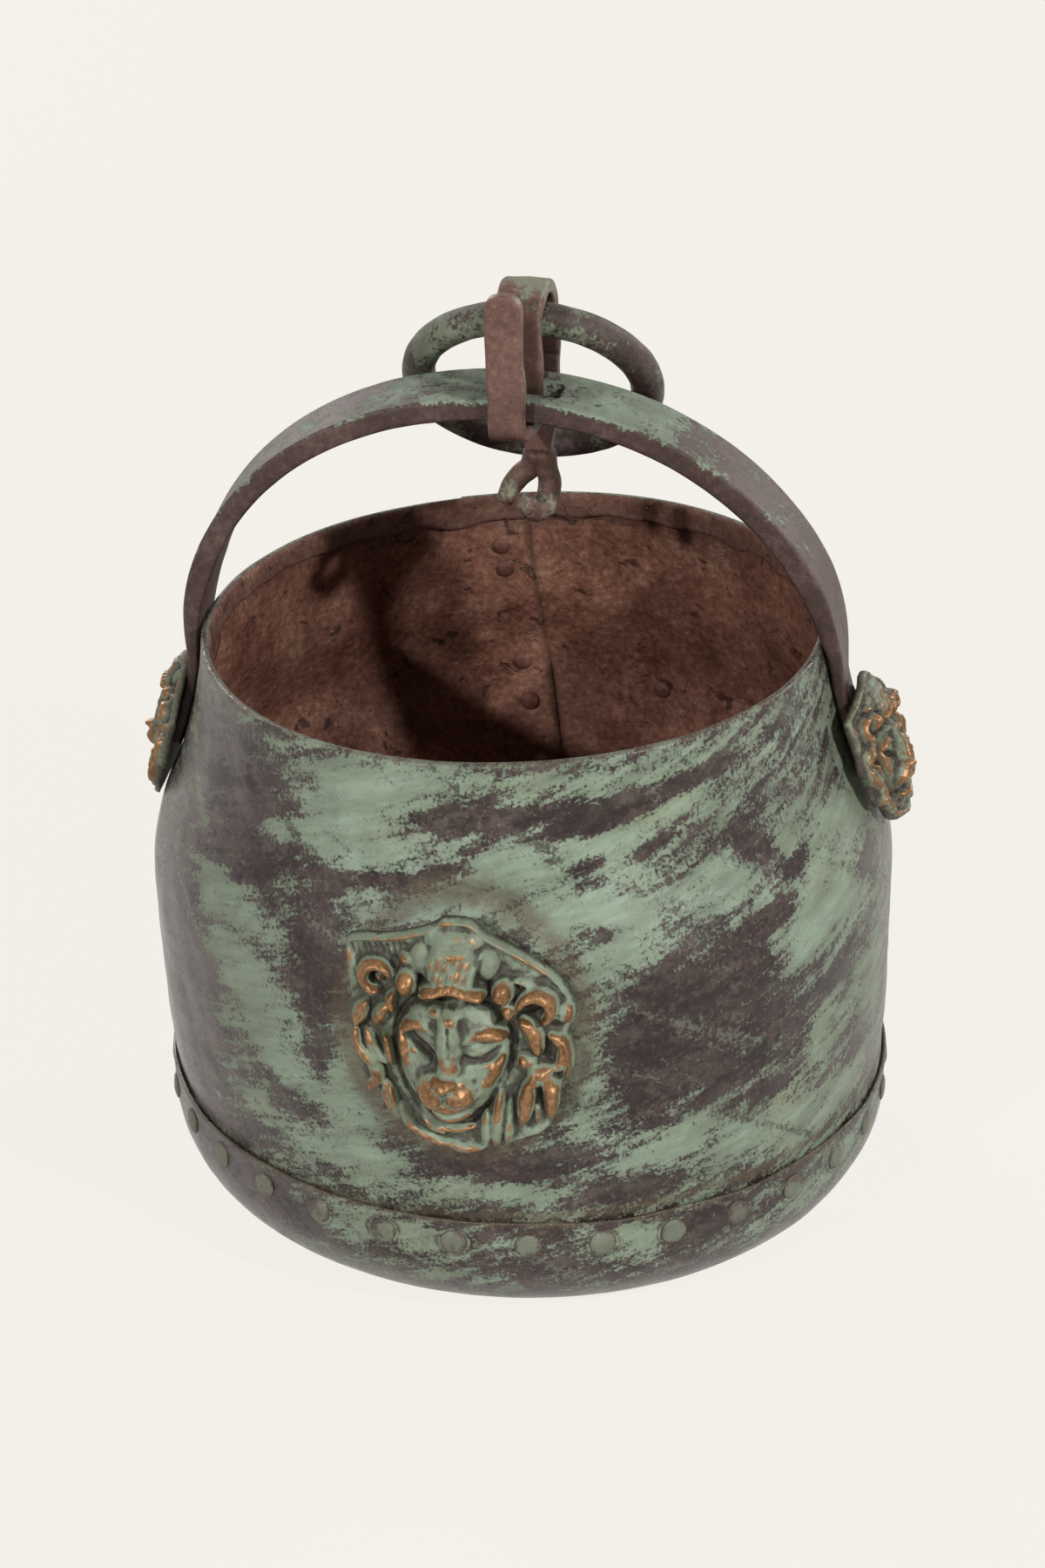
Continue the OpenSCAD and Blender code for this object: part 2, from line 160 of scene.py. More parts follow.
def waves(points: Points, size: float, seed: int, count: int = 9) -> Points:
    """Soft hammered unevenness at each point, mostly between -1 and 1.

    Args:
        points: places, one row each.
        size: usual distance from one hump to the next.
        seed: picks the pattern.
        count: number of crossing waves.

    Returns:
        One value for each point.
    """
    draw = np.random.default_rng(seed)
    total = np.zeros(len(points))
    for _ in range(count):
        way = draw.normal(size=points.shape[1])
        way *= 2 * math.pi / (np.linalg.norm(way) * size * draw.uniform(0.6, 1.6))
        total += np.sin(points @ way + draw.uniform(0, 2 * math.pi))
    return total / math.sqrt(count)


def ease(value: Points, low: float, high: float) -> Points:
    """Smooth step from 0 at low to 1 at high."""
    t = np.clip((value - low) / (high - low), 0, 1)
    return t * t * (3 - 2 * t)


@dataclass(frozen=True)
class Lean:
    """The small lean of everything above the pan."""

    angle: float
    pivot: float

    @classmethod
    def of_part(cls) -> "Lean":
        """The lean that the ring's hinge axis shows."""
        axis = frame["joints"][0]["axis"]
        return cls(math.degrees(math.atan2(axis[2], axis[0])), float(corner("base_pan", True)[2]))

    def place(self, points: Points) -> Points:
        """Points after leaning, in millimetres."""
        x, rise = spun(points[..., 0], points[..., 2] - self.pivot, self.angle)
        return np.stack([x, points[..., 1], rise + self.pivot], -1)


LEAN = Lean.of_part()


@dataclass
class Skin:
    """A grid of points that closes into a skin, with values that its finish reads."""

    points: Points
    wrap_rows: bool = False
    wrap_columns: bool = True
    cap_ends: bool = False
    values: dict[str, Points] = field(default_factory=dict)
    flat: Optional[tuple[Points, Points]] = None
    inner: Optional[Points] = None

    def build(self, name: str, *finishes: bpy.types.Material) -> bpy.types.Object:
        """Makes the mesh object, faces outwards, with doubles merged.

        Args:
            name: name of the piece.
            finishes: its materials.

        Returns:
            The new object, at the origin, in metres.
        """
        rows, columns = self.points.shape[:2]
        i, j = np.meshgrid(np.arange(rows if self.wrap_rows else rows - 1),
                           np.arange(columns if self.wrap_columns else columns - 1), indexing="ij")
        i, j = i.ravel(), j.ravel()
        ring = [(i, j), (i, j + 1), (i + 1, j + 1), (i + 1, j)]
        quads = np.stack([(a % rows) * columns + b % columns for a, b in ring], 1)
        flat_points = self.points.reshape(-1, 3)
        outwards = signed_volume(flat_points, quads) > 0
        order = [0, 1, 2, 3] if outwards else [3, 2, 1, 0]
        faces = quads[:, order].tolist()
        if self.cap_ends:
            first, last = list(range(columns)), list(range((rows - 1) * columns, rows * columns))
            faces += [first[::-1], last] if outwards else [first, last[::-1]]
        mesh = bpy.data.meshes.new(name)
        mesh.from_pydata((flat_points * MM).tolist(), [], faces)
        for key, value in self.values.items():
            attribute = mesh.attributes.new(key, "FLOAT", "POINT")
            attribute.data.foreach_set("value", np.ravel(value).astype(np.float32))
        if self.flat is not None:
            layer = mesh.uv_layers.new(name="strokes")
            ends = np.stack([np.stack([self.flat[k][ring[c][0], ring[c][1]] for k in (0, 1)], 1)
                             for c in order], 1).reshape(-1, 2)
            spare = len(mesh.loops) - len(ends)
            layer.data.foreach_set("uv", np.vstack([ends, np.zeros((spare, 2))]).ravel())
        if self.inner is not None:
            mesh.polygons.foreach_set("material_index", self.inner[i].astype(np.int32))
        for finish in finishes:
            mesh.materials.append(finish)
        piece = linked(name, mesh)
        tidy(piece)
        return piece


def signed_volume(points: Points, quads: Points) -> float:
    """Volume inside the quads, below zero where they face inwards."""
    p = points[quads]
    return float(sum(np.einsum("ij,ij->", p[:, 0], np.cross(p[:, a], p[:, b]))
                     for a, b in ((1, 2), (2, 3))))


def linked(name: str, data: bpy.types.ID) -> bpy.types.Object:
    """New object in the scene."""
    thing = bpy.data.objects.new(name, data)
    bpy.context.scene.collection.objects.link(thing)
    return thing


def worked_out(thing: bpy.types.Object) -> bpy.types.Mesh:
    """Plain mesh of an object after its modifiers."""
    bpy.context.view_layer.update()
    shown = thing.evaluated_get(bpy.context.evaluated_depsgraph_get())
    return bpy.data.meshes.new_from_object(shown)


def tidy(piece: bpy.types.Object) -> None:
    """Merges doubles, drops faces with no area and shades the piece smooth.

    Args:
        piece: the piece, changed in place.
    """
    work = bmesh.new()
    work.from_mesh(piece.data)
    bmesh.ops.remove_doubles(work, verts=work.verts, dist=2e-6)
    bmesh.ops.dissolve_degenerate(work, edges=work.edges, dist=1e-6)
    work.to_mesh(piece.data)
    work.free()
    piece.data.polygons.foreach_set("use_smooth", [True] * len(piece.data.polygons))
    piece.data.update()


def joined(name: str, parts: Sequence[bpy.types.Object]) -> bpy.types.Object:
    """One object from several closed pieces that are forged together.

    Args:
        name: name of the new object.
        parts: the pieces, which are used up.

    Returns:
        The object.
    """
    whole = bmesh.new()
    for part in parts:
        whole.from_mesh(part.data)
    mesh = bpy.data.meshes.new(name)
    whole.to_mesh(mesh)
    whole.free()
    for part in parts:
        bpy.data.objects.remove(part)
    return linked(name, mesh)


def bar_section(width: Points, thick: Points, round_r: float) -> Points:
    """Outline of a flat bar with rounded corners at each step of its path.

    Args:
        width: width at each step.
        thick: thickness at each step.
        round_r: radius of the corners, cut down where the bar is narrow.

    Returns:
        An array of steps, outline points and the two directions (across, out).
    """
    r = np.minimum(round_r, np.minimum(width, thick) * 0.45)[:, None]
    a = width[:, None] / 2 - r
    b = thick[:, None] / 2 - r
    sides = []
    for turn, (x, y) in enumerate(((1, 1), (-1, 1), (-1, -1), (1, -1))):
        t = np.radians(90 * turn + np.linspace(0, 90, 5))[None]
        bit = np.stack([x * a + r * np.cos(t), y * b + r * np.sin(t)], 2)
        nxt = ((-1, 1), (-1, -1), (1, -1), (1, 1))[turn]
        after = np.stack([nxt[0] * a + r * np.cos(t[:, -1:]), nxt[1] * b + r * np.sin(t[:, -1:])], 2)
        steps = np.linspace(0, 1, 11 if turn % 2 == 0 else 4)[1:-1][None, :, None]
        sides += [bit, bit[:, -1:] * (1 - steps) + after * steps]
    return np.concatenate(sides, 1)


def swept_bar(path: Points, width: Points, thick: Points, round_r: float) -> tuple[Points, Points]:
    """Sweeps a flat bar along a path in the plane of (run, rise), its width across that plane.

    Args:
        path: middle line as (run, rise).
        width: width at each point.
        thick: thickness at each point.
        round_r: radius of the bar's corners.

    Returns:
        Points as (across, run, rise) and how much each faces the path's left side.
    """
    way = headings(path)
    left = np.stack([-way[:, 1], way[:, 0]], 1)
    outline = bar_section(width, thick, round_r)
    spot = path[:, None] + left[:, None] * outline[:, :, 1:2]
    grid = np.concatenate([outline[:, :, :1], spot], 2)
    side = np.clip(outline[:, :, 1] / (thick[:, None] / 2), -1, 1)
    return grid, side


def drawn_in(grid: Points, middle: Points, amount: Points) -> Points:
    """A bar's points moved by an amount towards its middle line."""
    gap = grid - middle[:, None]
    far = np.maximum(np.linalg.norm(gap, axis=2, keepdims=True), 1)
    return grid - gap / far * amount[:, :, None]


def round_bar(path: Points, radius: Points, sides: int = 20) -> Points:
    """Round bar along a path with domed ends.

    Args:
        path: middle line.
        radius: radius at each point.
        sides: points round the bar.

    Returns:
        A grid of rows along the bar and columns round it.
    """
    way = headings(path)
    across = np.cross(way, [0.31, 0.11, 0.9])
    across /= np.linalg.norm(across, axis=1)[:, None]
    up = np.cross(across, way)
    dome = np.radians(np.linspace(0, 90, 6)[:-1])
    front, back = ([(path[k] + side * way[k] * radius[k] * math.cos(a) * 0.7,
                     radius[k] * math.sin(a) + 1e-4, k) for a in dome]
                   for k, side in ((0, -1), (-1, 1)))
    rows = front + [(p, r, k) for k, (p, r) in enumerate(zip(path, radius))] + back[::-1]
    turn = np.linspace(0, 2 * math.pi, sides, endpoint=False)[:, None]
    return np.array([p + r * (np.cos(turn) * across[k] + np.sin(turn) * up[k]) for p, r, k in rows])


# ---------------------------------------------------------------- shader building

class Net:
    """Adds and joins the nodes of one tree."""

    def __init__(self, tree: bpy.types.NodeTree) -> None:
        """Keeps the tree."""
        self.tree = tree

    def add(self, kind: str, **settings: object) -> bpy.types.Node:
        """New node of a kind with its settings.

        Args:
            kind: the node's type.
            settings: its properties by name.

        Returns:
            The node.
        """
        node = self.tree.nodes.new(kind)
        for key, value in settings.items():
            setattr(node, key, value)
        return node

    def put(self, socket: Socket, value: Value) -> None:
        """Links a socket, or sets its own value.

        Args:
            socket: the input.
            value: another socket, or a plain value.
        """
        if isinstance(value, bpy.types.NodeSocket):
            self.tree.links.new(value, socket)
        else:
            socket.default_value = value

    def math(self, operation: str, a: Value, b: Value = 0.0, c: Value = 0.0) -> Socket:
        """Result of a Math node.

        Args:
            operation: the node's operation.
            a: first value.
            b: second value.
            c: third value.

        Returns:
            Its output.
        """
        node = self.add("ShaderNodeMath", operation=operation)
        for socket, value in zip(node.inputs, (a, b, c)):
            self.put(socket, value)
        return node.outputs[0]

    def fill(self, node: bpy.types.Node, **values: object) -> bpy.types.Node:
        """A node with inputs given by name, underscores for spaces."""
        for key, value in values.items():
            self.put(node.inputs[key.replace("_", " ")], value)
        return node

    def total(self, *terms: tuple) -> Socket:
        """Sum of weighted values and noises.

        Args:
            terms: a value and its weight, or what a noise takes and its weight.

        Returns:
            The sum.
        """
        result: Value = 0.0
        for *what, weight in terms:
            value = what[0] if len(what) == 1 else self.noise(*what)
            result = self.math("MULTIPLY_ADD", value, weight, result)
        return result

    def laid(self, below: Value, tint: Value, amount: float, low: float, high: float,
             *terms: tuple) -> Socket:
        """Colour with a tint laid over it in patches."""
        return self.layer(below, self.span(self.total(*terms), low, high), amount, tint)

    def span(self, value: Value, low: float, high: float) -> Socket:
        """Smooth step of a value from 0 at low to 1 at high."""
        node = self.add("ShaderNodeMapRange", interpolation_type="SMOOTHSTEP")
        return self.fill(node, Value=value, From_Min=low, From_Max=high).outputs[0]

    def mix(self, amount: Value, a: Value, b: Value) -> Socket:
        """Colour mix.

        Args:
            amount: share of the second colour.
            a: first colour.
            b: second colour.

        Returns:
            The mixed colour.
        """
        node = self.add("ShaderNodeMix", data_type="RGBA", blend_type="MIX")
        self.put(node.inputs[0], amount)
        self.put(node.inputs[6], a)
        self.put(node.inputs[7], b)
        return node.outputs[2]

    def layer(self, below: Value, share: Value, amount: float, tint: Value) -> Socket:
        """Colour with a tint laid over it where share is high, at most by amount."""
        return self.mix(self.math("MULTIPLY", share, amount), below, tint)

    def noise(self, place: Value, scale: Value, detail: float = 4.0, rough: float = 0.6,
              twist: float = 0.0) -> Socket:
        """Noise about zero, mostly between -0.5 and 0.5."""
        node = self.fill(self.add("ShaderNodeTexNoise"), Vector=place, Scale=scale, Detail=detail,
                         Roughness=rough, Distortion=twist)
        return self.math("SUBTRACT", node.outputs["Fac"], 0.5)

    def spots(self, place: Value, scale: float, feature: str) -> Socket:
        """Distance to scattered points."""
        node = self.add("ShaderNodeTexVoronoi", feature=feature)
        return self.fill(node, Vector=place, Scale=scale).outputs["Distance"]

    def turned(self, place: Value, degrees: float, stretch: float) -> Socket:
        """Flat coordinates turned about the surface and drawn out along their new first axis."""
        node = self.add("ShaderNodeMapping", vector_type="TEXTURE")
        return self.fill(node, Vector=place, Rotation=(0, 0, math.radians(degrees)),
                         Scale=(stretch, 1, 1)).outputs[0]

    def ramp(self, value: Value, *stops: tuple[float, tuple[float, ...]]) -> Socket:
        """Colour ramp of a value.

        Args:
            value: place along the ramp.
            stops: places and their colours.

        Returns:
            The ramp's colour.
        """
        node = self.add("ShaderNodeValToRGB")
        band = node.color_ramp.elements
        while len(band) < len(stops):
            band.new(0.5)
        for element, (place, tint) in zip(band, stops):
            element.position = place
            element.color = tint
        self.put(node.inputs[0], value)
        return node.outputs[0]

    def bump(self, height: Value, depth: float, strength: float) -> Socket:
        """Normal bent by a height, whose full range is depth metres."""
        return self.fill(self.add("ShaderNodeBump"), Strength=strength, Distance=depth,
                         Height=height).outputs[0]

    def value_of(self, attribute: str) -> Socket:
        """The value that a piece carries under a name."""
        return self.add("ShaderNodeAttribute", attribute_name=attribute).outputs["Fac"]

    def group(self, tree: bpy.types.NodeTree, **values: Value) -> bpy.types.NodeOutputs:
        """Outputs of a shared group with its inputs given by name."""
        return self.fill(self.add("ShaderNodeGroup", node_tree=tree), **values).outputs


def new_group(name: str, inputs: Sequence[tuple[str, str, Optional[float]]],
              outputs: Sequence[tuple[str, str]], kind: str = "ShaderNodeTree"
              ) -> tuple[Net, bpy.types.NodeOutputs, bpy.types.Node]:
    """Starts a shared group of nodes.

    Args:
        name: name of the group.
        inputs: name, kind (Float, Vector, Color) and starting value of each input.
        outputs: name and kind of each output.
        kind: kind of the tree.

    Returns:
        The net, the sockets that hold the group's inputs, and its output node.
    """
    tree = bpy.data.node_groups.new(name, kind)
    for title, shape, start in inputs:
        socket = tree.interface.new_socket(title, in_out="INPUT", socket_type=f"NodeSocket{shape}")
        if start is not None:
            socket.default_value = start
    for title, shape in outputs:
        tree.interface.new_socket(title, in_out="OUTPUT", socket_type=f"NodeSocket{shape}")
    net = Net(tree)
    return net, net.add("NodeGroupInput").outputs, net.add("NodeGroupOutput")


class Groups:
    """Shader groups that several finishes share."""

    def __init__(self) -> None:
        """Builds each group once."""
        self.crumbled = self.make_crumbled()
        self.iron_grain = self.make_iron_grain()
        self.paint_tone = self.make_paint_tone()

    @staticmethod
    def make_crumbled() -> bpy.types.NodeTree:
        """Turns a soft cover value into a patch with brushed, crumbled and speckled edges.

        Returns:
            The group.
        """
        net, take, outs = new_group(
            "crumbled_edge",
            (("Place", "Vector", None), ("Brushed", "Vector", None), ("Cover", "Float", 0.5),
             ("Streak Scale", "Float", 60.0), ("Speck Scale", "Float", 700.0),
             ("Streak", "Float", 1.6), ("Breakup", "Float", 1.0), ("Speckle", "Float", 0.9)),
            (("Mask", "Float"), ("Thin", "Float")))
        cover = take["Cover"]
        for noise, share in ((net.noise(take["Brushed"], take["Streak Scale"], 6.0, 0.62), "Streak"),
                             (net.noise(take["Place"], 85.0, 6.0, 0.72), "Breakup"),
                             (net.noise(take["Place"], take["Speck Scale"], 4.0, 0.7), "Speckle")):
            cover = net.math("MULTIPLY_ADD", noise, take[share], cover)
        net.fill(outs, Mask=net.span(cover, -0.12, 0.2), Thin=net.span(cover, 0.0, 0.75))
        return net.tree

    @staticmethod
    def make_iron_grain() -> bpy.types.NodeTree:
        """Tone, pits and height of old worked iron.

        Returns:
            The group.
        """
        net, take, outs = new_group(
            "iron_grain",
            (("Place", "Vector", None), ("Grain Scale", "Float", 420.0), ("Pit Depth", "Float", 1.0)),
            (("Tone", "Float"), ("Pits", "Float"), ("Height", "Float")))
        place = take["Place"]
        fine = net.noise(place, take["Grain Scale"], 6.0, 0.7)
        broad = net.noise(place, 34.0, 4.0, 0.6)
        pits = net.span(net.noise(place, 230.0, 3.0, 0.55), 0.17, 0.27)
        height = net.total((fine, 0.5), (broad, 0.9), (net.spots(place, 75.0, "SMOOTH_F1"), 0.9))
        dug = net.math("MULTIPLY", pits, take["Pit Depth"])
        net.fill(outs, Tone=net.total((broad, 0.75), (fine, 0.85), (1.0, 0.5)), Pits=pits,
                 Height=net.math("MULTIPLY_ADD", dug, -0.55, height))
        return net.tree

    @staticmethod
    def make_paint_tone() -> bpy.types.NodeTree:
        """Old green paint, between bluish, pale and yellowed.

        Returns:
            The group.
        """
        net, take, outs = new_group(
            "paint_tone",
            (("Place", "Vector", None), ("Brushed", "Vector", None), ("Age", "Float", 0.0)),
            (("Colour", "Color"), ("Height", "Float")))
        brush = net.noise(take["Brushed"], 95.0, 6.0, 0.65)
        tone = net.total((brush, 1.0), (take["Place"], 17.0, 3.0, 0.55, 0.7), (1.0, 0.5))
        tint = net.ramp(tone, (0.2, colour(98, 106, 90)), (0.42, colour(124, 139, 118)),
                        (0.6, colour(142, 159, 138)), (0.84, colour(166, 180, 165)))
        tint = net.laid(tint, colour(138, 144, 112), 0.5, -0.02, 0.22, (take["Place"], 26.0, 4.0, 0.6, 1.0))
        net.fill(outs, Colour=net.mix(take["Age"], tint, colour(110, 107, 86)), Height=brush)
        return net.tree


@dataclass
class Finish:
    """A material with one Principled shader, of one specular level, that a subclass feeds."""

    name: str
    groups: Groups
    specular: float

    def __post_init__(self) -> None:
        """Makes the material."""
        self.material = bpy.data.materials.new(self.name)
        self.material.use_nodes = True
        self.net = Net(self.material.node_tree)
        self.net.tree.nodes.clear()
        self.shader = self.net.add("ShaderNodeBsdfPrincipled")
        self.shader.inputs["Specular IOR Level"].default_value = self.specular
        self.net.fill(self.net.add("ShaderNodeOutputMaterial"), Surface=self.shader.outputs[0])
        self.place = self.net.add("ShaderNodeTexCoord").outputs["Object"]
        self.flat = self.net.add("ShaderNodeUVMap", uv_map="strokes").outputs[0]

    def grain(self, scale: float, pits: float) -> bpy.types.NodeOutputs:
        """Tone, pits and height of worked iron."""
        return self.net.group(self.groups.iron_grain, Place=self.place, Grain_Scale=scale,
                              Pit_Depth=pits)

    def paint(self, brushed: Value, age: Value) -> bpy.types.NodeOutputs:
        """Colour and height of old green paint."""
        return self.net.group(self.groups.paint_tone, Place=self.place, Brushed=brushed, Age=age)

    def patch(self, brushed: Value, cover: Value, **looks: float) -> bpy.types.NodeOutputs:
        """Mask and thinness of a crumbled patch."""
        return self.net.group(self.groups.crumbled, Place=self.place, Brushed=brushed, Cover=cover,
                              **looks)

    def feed(self, base: Value, rough: Value, metallic: Value, normal: Value) -> bpy.types.Material:
        """Joins the four main inputs of the shader and returns the material."""
        self.net.fill(self.shader, Base_Color=base, Roughness=rough, Metallic=metallic, Normal=normal)
        return self.material


@dataclass(frozen=True)
class RivetRow:
    """A row of rivets on the flattened sheet, in metres."""

    pitch: float
    start: float
    rise: float
    ring: float = 0.0078


class Side(Enum):
    """Which face of the sheet a finish is for."""

    OUTSIDE = "outside"
    INSIDE = "inside"


@dataclass
class SheetOutside(Finish):
    """Dark iron sheet under worn green paint, brushed thin, with brown stains, also round rivets, and a
    painted grey sheen towards its sides.
    """

    row: Optional[RivetRow] = None

    def rivet_stain(self) -> Socket:
        """Brown ring round each head of the row.

        Returns:
            How far the stain covers, 0 to 1.
        """
        n, row = self.net, self.row
        parts = n.fill(n.add("ShaderNodeSeparateXYZ"), Vector=self.flat).outputs
        along = n.math("WRAP", n.math("SUBTRACT", parts["X"], row.start), row.pitch / 2, -row.pitch / 2)
        up = n.math("SUBTRACT", parts["Y"], row.rise)
        far = n.math("SQRT", n.math("MULTIPLY_ADD", along, along, n.math("MULTIPLY", up, up)))
        off = n.math("ABSOLUTE", n.math("SUBTRACT", far, row.ring))
        return n.span(n.total((off, -1000.0), (self.place, 300.0, 5.0, 0.7, 5.0), (1.0, 1.1)), 0.0, 1.1)

    def build(self) -> bpy.types.Material:
        """Joins the nodes and returns the material."""
        n, place = self.net, self.place
        brushed, crossed = n.turned(self.flat, 17, 5.0), n.turned(self.flat, -32, 5.5)
        # haze_and_sheen: grey haze, partly a painted sheen where the sheet turns away towards its sides
        cover, haze_and_sheen = n.value_of("paint"), n.value_of("haze_and_sheen")
        patch = self.patch(brushed, cover, Streak_Scale=170.0, Speck_Scale=620.0, Streak=2.5,
                           Breakup=1.8, Speckle=2.2)
        grain = self.grain(380.0, 1.0)
        paint = self.paint(brushed, n.math("MULTIPLY", haze_and_sheen, 0.55))
        # bare iron: hazed, with a painted grey sheen towards the sides, dusty, rubbed along the brush, veiled
        # with paint, scraped bare, flecked
        iron = n.ramp(grain["Tone"], (0.2, colour(28, 20, 21)), (0.43, colour(48, 36, 37)),
                      (0.6, colour(68, 54, 53)), (0.82, colour(106, 91, 85)))
        iron = n.laid(iron, colour(98, 88, 92), 0.62, 0.05, 0.75, (crossed, 110.0, 6.0, 0.65, 2.0),
                      (haze_and_sheen, 0.8))
        iron = n.laid(iron, colour(108, 92, 84), 0.42, 0.02, 0.14, (place, 58.0, 6.0, 0.75, 1.0),
                      (place, 300.0, 5.0, 0.7, 0.7))
        iron = n.laid(iron, colour(132, 130, 118), 0.36, 0.08, 0.26,
                      (n.turned(self.flat, 24, 10.0), 420.0, 5.0, 0.7, 1.0))
        iron = n.laid(iron, colour(112, 120, 106), 0.52, 0.12, 0.85, (crossed, 210.0, 5.0, 0.7, 1.8),
                      (cover, 0.65))
        iron = n.laid(iron, colour(37, 25, 26), 0.85, 0.16, 0.42, (brushed, 105.0, 6.0, 0.75, 2.3),
                      (cover, -0.3), (place, 260.0, 5.0, 0.75, 1.3))
        iron = n.laid(iron, colour(132, 134, 118), 0.5, 0.09, 0.17, (place, 430.0, 6.0, 0.8, 1.0),
                      (crossed, 52.0, 5.0, 0.65, 0.9))
        # paint over it: worn through in specks, clouded, chalky, thin and brownish at its edges
        surface = n.mix(patch["Mask"], iron, paint["Colour"])
        surface = n.laid(surface, colour(52, 41, 39), 0.88, 0.11, 0.17, (place, 340.0, 6.0, 0.85, 1.0),
                         (crossed, 48.0, 5.0, 0.65, 1.1))
        surface = n.laid(surface, colour(98, 94, 82), 0.34, -0.02, 0.2,
                         (n.turned(self.flat, 10, 2.2), 62.0, 6.0, 0.7, 1.0))
        surface = n.laid(surface, colour(158, 178, 166), 0.55, 0.14, 0.3, (brushed, 260.0, 6.0, 0.7, 1.0),
                         (cover, 0.16))
        edge = n.math("MULTIPLY", n.math("SUBTRACT", 1.0, patch["Thin"]), patch["Mask"])
        surface = n.layer(surface, edge, 0.34, colour(96, 98, 82))
        brown = n.ramp(grain["Tone"], (0.3, colour(62, 47, 35)), (0.7, colour(106, 92, 68)))
        surface = n.laid(surface, brown, 0.72, 0.28, 0.9, (n.value_of("stain_and_shade"), 1.0),
                         (place, 120.0, 6.0, 0.7, 1.3))
        surface = n.layer(surface, grain["Pits"], 0.45, colour(42, 31, 27))
        if self.row is not None:
            surface = n.layer(surface, self.rivet_stain(), 0.75, colour(66, 54, 40))
        bright = n.span(n.noise(place, 300.0, 5.0, 0.75), 0.12, 0.3)
        rough = n.total((patch["Mask"], 0.15), (bright, -0.14), (1.0, 0.27))
        height = n.total((patch["Mask"], 0.32), (grain["Height"], 0.8), (paint["Height"], 0.3))
        metal = n.math("MULTIPLY_ADD", patch["Mask"], -0.25, 0.25)
        return self.feed(surface, rough, metal, n.bump(height, 0.0009, 0.8))


class SheetInside(Finish):
    """Red-brown rust inside the bucket, darker where it is damp, with black pits and a painted shade under
    the rim.
    """

    def build(self) -> bpy.types.Material:
        """Joins the nodes and returns the material."""
        n, place = self.net, self.place
        grain = self.grain(300.0, 1.6)
        rust = n.ramp(grain["Tone"], (0.2, colour(62, 36, 28)), (0.4, colour(106, 68, 54)),
                      (0.58, colour(140, 98, 81)), (0.78, colour(180, 142, 120)))
        rust = n.laid(rust, colour(70, 46, 38), 0.45, -0.06, 0.2, (place, 14.0, 5.0, 0.62, 1.0))
        ochre = n.span(n.noise(place, 48.0, 6.0, 0.7), 0.08, 0.24)
        rust = n.layer(rust, ochre, 0.4, colour(146, 110, 84))
        blots = n.span(n.total((place, 84.0, 5.0, 0.6, 0.6, 1.0), (n.value_of("haze_and_sheen"), 0.1)), 0.12, 0.17)
        rust = n.layer(rust, blots, 0.72, colour(36, 25, 25))
        rust = n.laid(rust, colour(168, 134, 112), 0.5, 0.1, 0.22, (place, 150.0, 6.0, 0.75, 1.0))
        rust = n.laid(rust, colour(104, 88, 74), 0.4, 0.06, 0.22, (place, 22.0, 5.0, 0.65, 1.0))
        # painted shade under the rim's fold, and the stain along the lap's inner edge
        rust = n.layer(rust, n.value_of("stain_and_shade"), 0.6, colour(62, 47, 40))
        rough = n.total((grain["Tone"], 0.2), (blots, -0.1), (1.0, 0.5))
        height = n.total((grain["Height"], 1.0), (blots, -0.3), (ochre, 0.25))
        return self.feed(rust, rough, 0.0, n.bump(height, 0.0013, 0.9))


@dataclass(frozen=True)
class BarTones:
    """Colours of a forged bar: its scale from dark to bright, and the bloom on its top."""

    dark: tuple[float, ...]
    middle: tuple[float, ...]
    light: tuple[float, ...]
    fleck: tuple[float, ...]
    bloom: tuple[float, ...]
    bloom_pale: tuple[float, ...]
    flecks: float


@dataclass
class ForgedBar(Finish):
    """Brown scale on forged iron, copper-bright flecks, pale worn edges, green bloom, and stains with painted
    shade.
    """

    tones: BarTones

    def build(self) -> bpy.types.Material:
        """Joins the nodes and returns the material."""
        n, place, tones = self.net, self.place, self.tones
        grain = self.grain(340.0, 1.3)
        scale = n.ramp(grain["Tone"], (0.2, tones.dark), (0.5, tones.middle), (0.8, tones.light))
        scale = n.laid(scale, tones.fleck, tones.flecks, 0.08, 0.25, (place, 330.0, 4.0, 0.7, 1.0))
        mask = self.patch(place, n.value_of("bloom"), Streak_Scale=75.0, Speck_Scale=560.0, Streak=2.4,
                          Breakup=2.0, Speckle=2.2)["Mask"]
        cloud = n.span(n.noise(place, 60.0, 5.0, 0.65), -0.2, 0.25)
        surface = n.mix(mask, scale, n.mix(cloud, tones.bloom, tones.bloom_pale))
        surface = n.laid(surface, tones.middle, 0.5, 0.03, 0.2, (place, 105.0, 6.0, 0.7, 1.0))
        surface = n.laid(surface, tones.dark, 0.6, 0.09, 0.2, (place, 190.0, 5.0, 0.7, 0.6, 1.0))
        worn = n.span(n.total((n.value_of("edge"), 1.0), (place, 260.0, 4.0, 0.6, 1.3)), 0.55, 1.0)
        surface = n.layer(surface, worn, 0.42, colour(150, 146, 134))
        surface = n.layer(surface, grain["Pits"], 0.6, colour(38, 27, 23))
        # stains, and painted shade where the bail shades the strap, its tails and the ring
        surface = n.laid(surface, colour(52, 38, 28), 0.7, 0.3, 0.9, (n.value_of("stain_and_shade"), 1.0),
                         (place, 150.0, 5.0, 0.6, 0.9))
        rough = n.total((mask, 0.15), (worn, -0.08), (1.0, 0.5))
        metal = n.math("MULTIPLY_ADD", mask, -0.2, 0.2)
        height = n.total((mask, 0.25), (grain["Height"], 1.0))
        return self.feed(surface, rough, metal, n.bump(height, 0.0009, 0.85))


